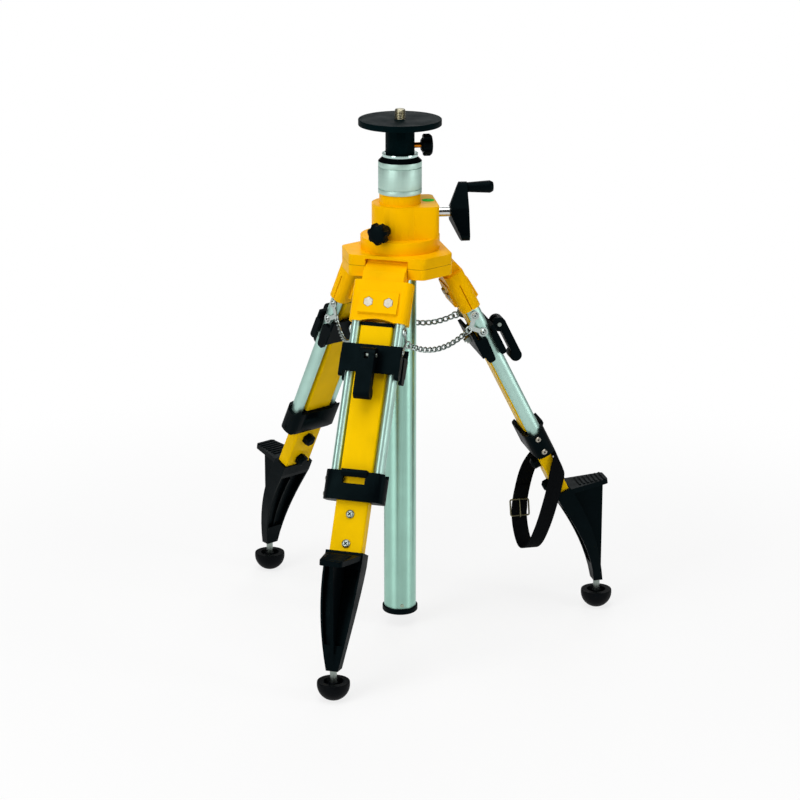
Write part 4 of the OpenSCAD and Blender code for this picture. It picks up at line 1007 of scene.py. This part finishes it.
# Stage, light and camera
CAMERA_AT = Vector((-0.4805, -3.7457, 1.5135))
CAMERA_PITCH = math.radians(17.131)
CAMERA_YAW = math.radians(-7.31)
CAMERA_REACH = 100.0
FOCAL_PX = 2679.0
IMAGE_PX = 800.0
SENSOR_MM = 36.0
FLOOR_HALF = 60.0
FLOOR_HEIGHT = -0.0005
FLOOR_COLOUR = (0.9, 0.9, 0.9, 1.0)
WHITE = (1.0, 1.0, 1.0, 1.0)
FADE_RADII = (0.45, 1.3)
FADE_SHARES = (0.8, 1.0)
WORLD_LIGHT = 0.4
WORLD_SEEN = 1.0

# Lamps: place, aim, width, height and watts
LIGHTS = {
    "key": ((-2.6, -1.9, 1.7), (0.0, 0.0, 0.5), 1.6, 2.8, 55.0),
    "fill": ((2.5, -1.7, 1.1), (0.0, 0.0, 0.45), 0.9, 2.2, 26.0),
    "top": ((-0.4, -0.6, 3.2), (0.0, 0.0, 0.4), 2.6, 2.6, 70.0),
    "back": ((0.8, 2.8, 2.4), (0.0, 0.0, 0.5), 1.8, 1.8, 30.0),
}


def make_camera():
    data = bpy.data.cameras.new("camera")
    data.sensor_width = SENSOR_MM
    data.lens = FOCAL_PX * SENSOR_MM / IMAGE_PX
    data.clip_end = CAMERA_REACH
    camera = add_object("camera", data)
    camera.location = CAMERA_AT
    camera.rotation_euler = (math.pi / 2 - CAMERA_PITCH, 0.0, CAMERA_YAW)
    bpy.context.scene.camera = camera


def make_floor():
    """Pale floor that takes the object's shadow near it and is plain white further out."""
    size = FLOOR_HALF
    mesh = bpy.data.meshes.new("floor")
    mesh.from_pydata([(-size, -size, 0), (size, -size, 0), (size, size, 0), (-size, size, 0)],
                     [], [(0, 1, 2, 3)])
    floor = add_object("floor", mesh)
    floor.location.z = FLOOR_HEIGHT
    material = bpy.data.materials.new("floor")
    nodes = Nodes(material)
    nodes.tree.nodes.clear()
    matt = nodes.add("ShaderNodeBsdfDiffuse", Color=FLOOR_COLOUR)
    glow = nodes.add("ShaderNodeEmission", Color=WHITE)
    away = nodes.add("ShaderNodeVectorMath")
    away.operation = "LENGTH"
    nodes.put(away.inputs[0], nodes.add("ShaderNodeTexCoord").outputs["Object"])
    fade = nodes.spread(away.outputs["Value"], FADE_RADII, FADE_SHARES, "SMOOTHSTEP")
    mix = nodes.add("ShaderNodeMixShader", Fac=nodes.math("MULTIPLY", nodes.seen(), fade))
    nodes.put(mix.inputs[1], matt.outputs["BSDF"])
    nodes.put(mix.inputs[2], glow.outputs["Emission"])
    nodes.add("ShaderNodeOutputMaterial", Surface=mix.outputs["Shader"])
    mesh.materials.append(material)


def make_world():
    world = bpy.data.worlds.new("studio")
    nodes = Nodes(world)
    strength = nodes.spread(nodes.seen(), (0.0, 1.0), (WORLD_LIGHT, WORLD_SEEN))
    nodes.put(nodes.tree.nodes["Background"].inputs["Strength"], strength)
    bpy.context.scene.world = world


def make_light(name, at, aim, width, height, power):
    data = bpy.data.lights.new(name, "AREA")
    data.shape = "RECTANGLE"
    data.size = width
    data.size_y = height
    data.energy = power
    light = add_object(name, data)
    light.location = at
    light.rotation_euler = (Vector(aim) - Vector(at)).to_track_quat("-Z", "Y").to_euler()


make_camera()
make_floor()
make_world()
for name, settings in LIGHTS.items():
    make_light(name, *settings)
bpy.context.scene.view_settings.view_transform = "Standard"
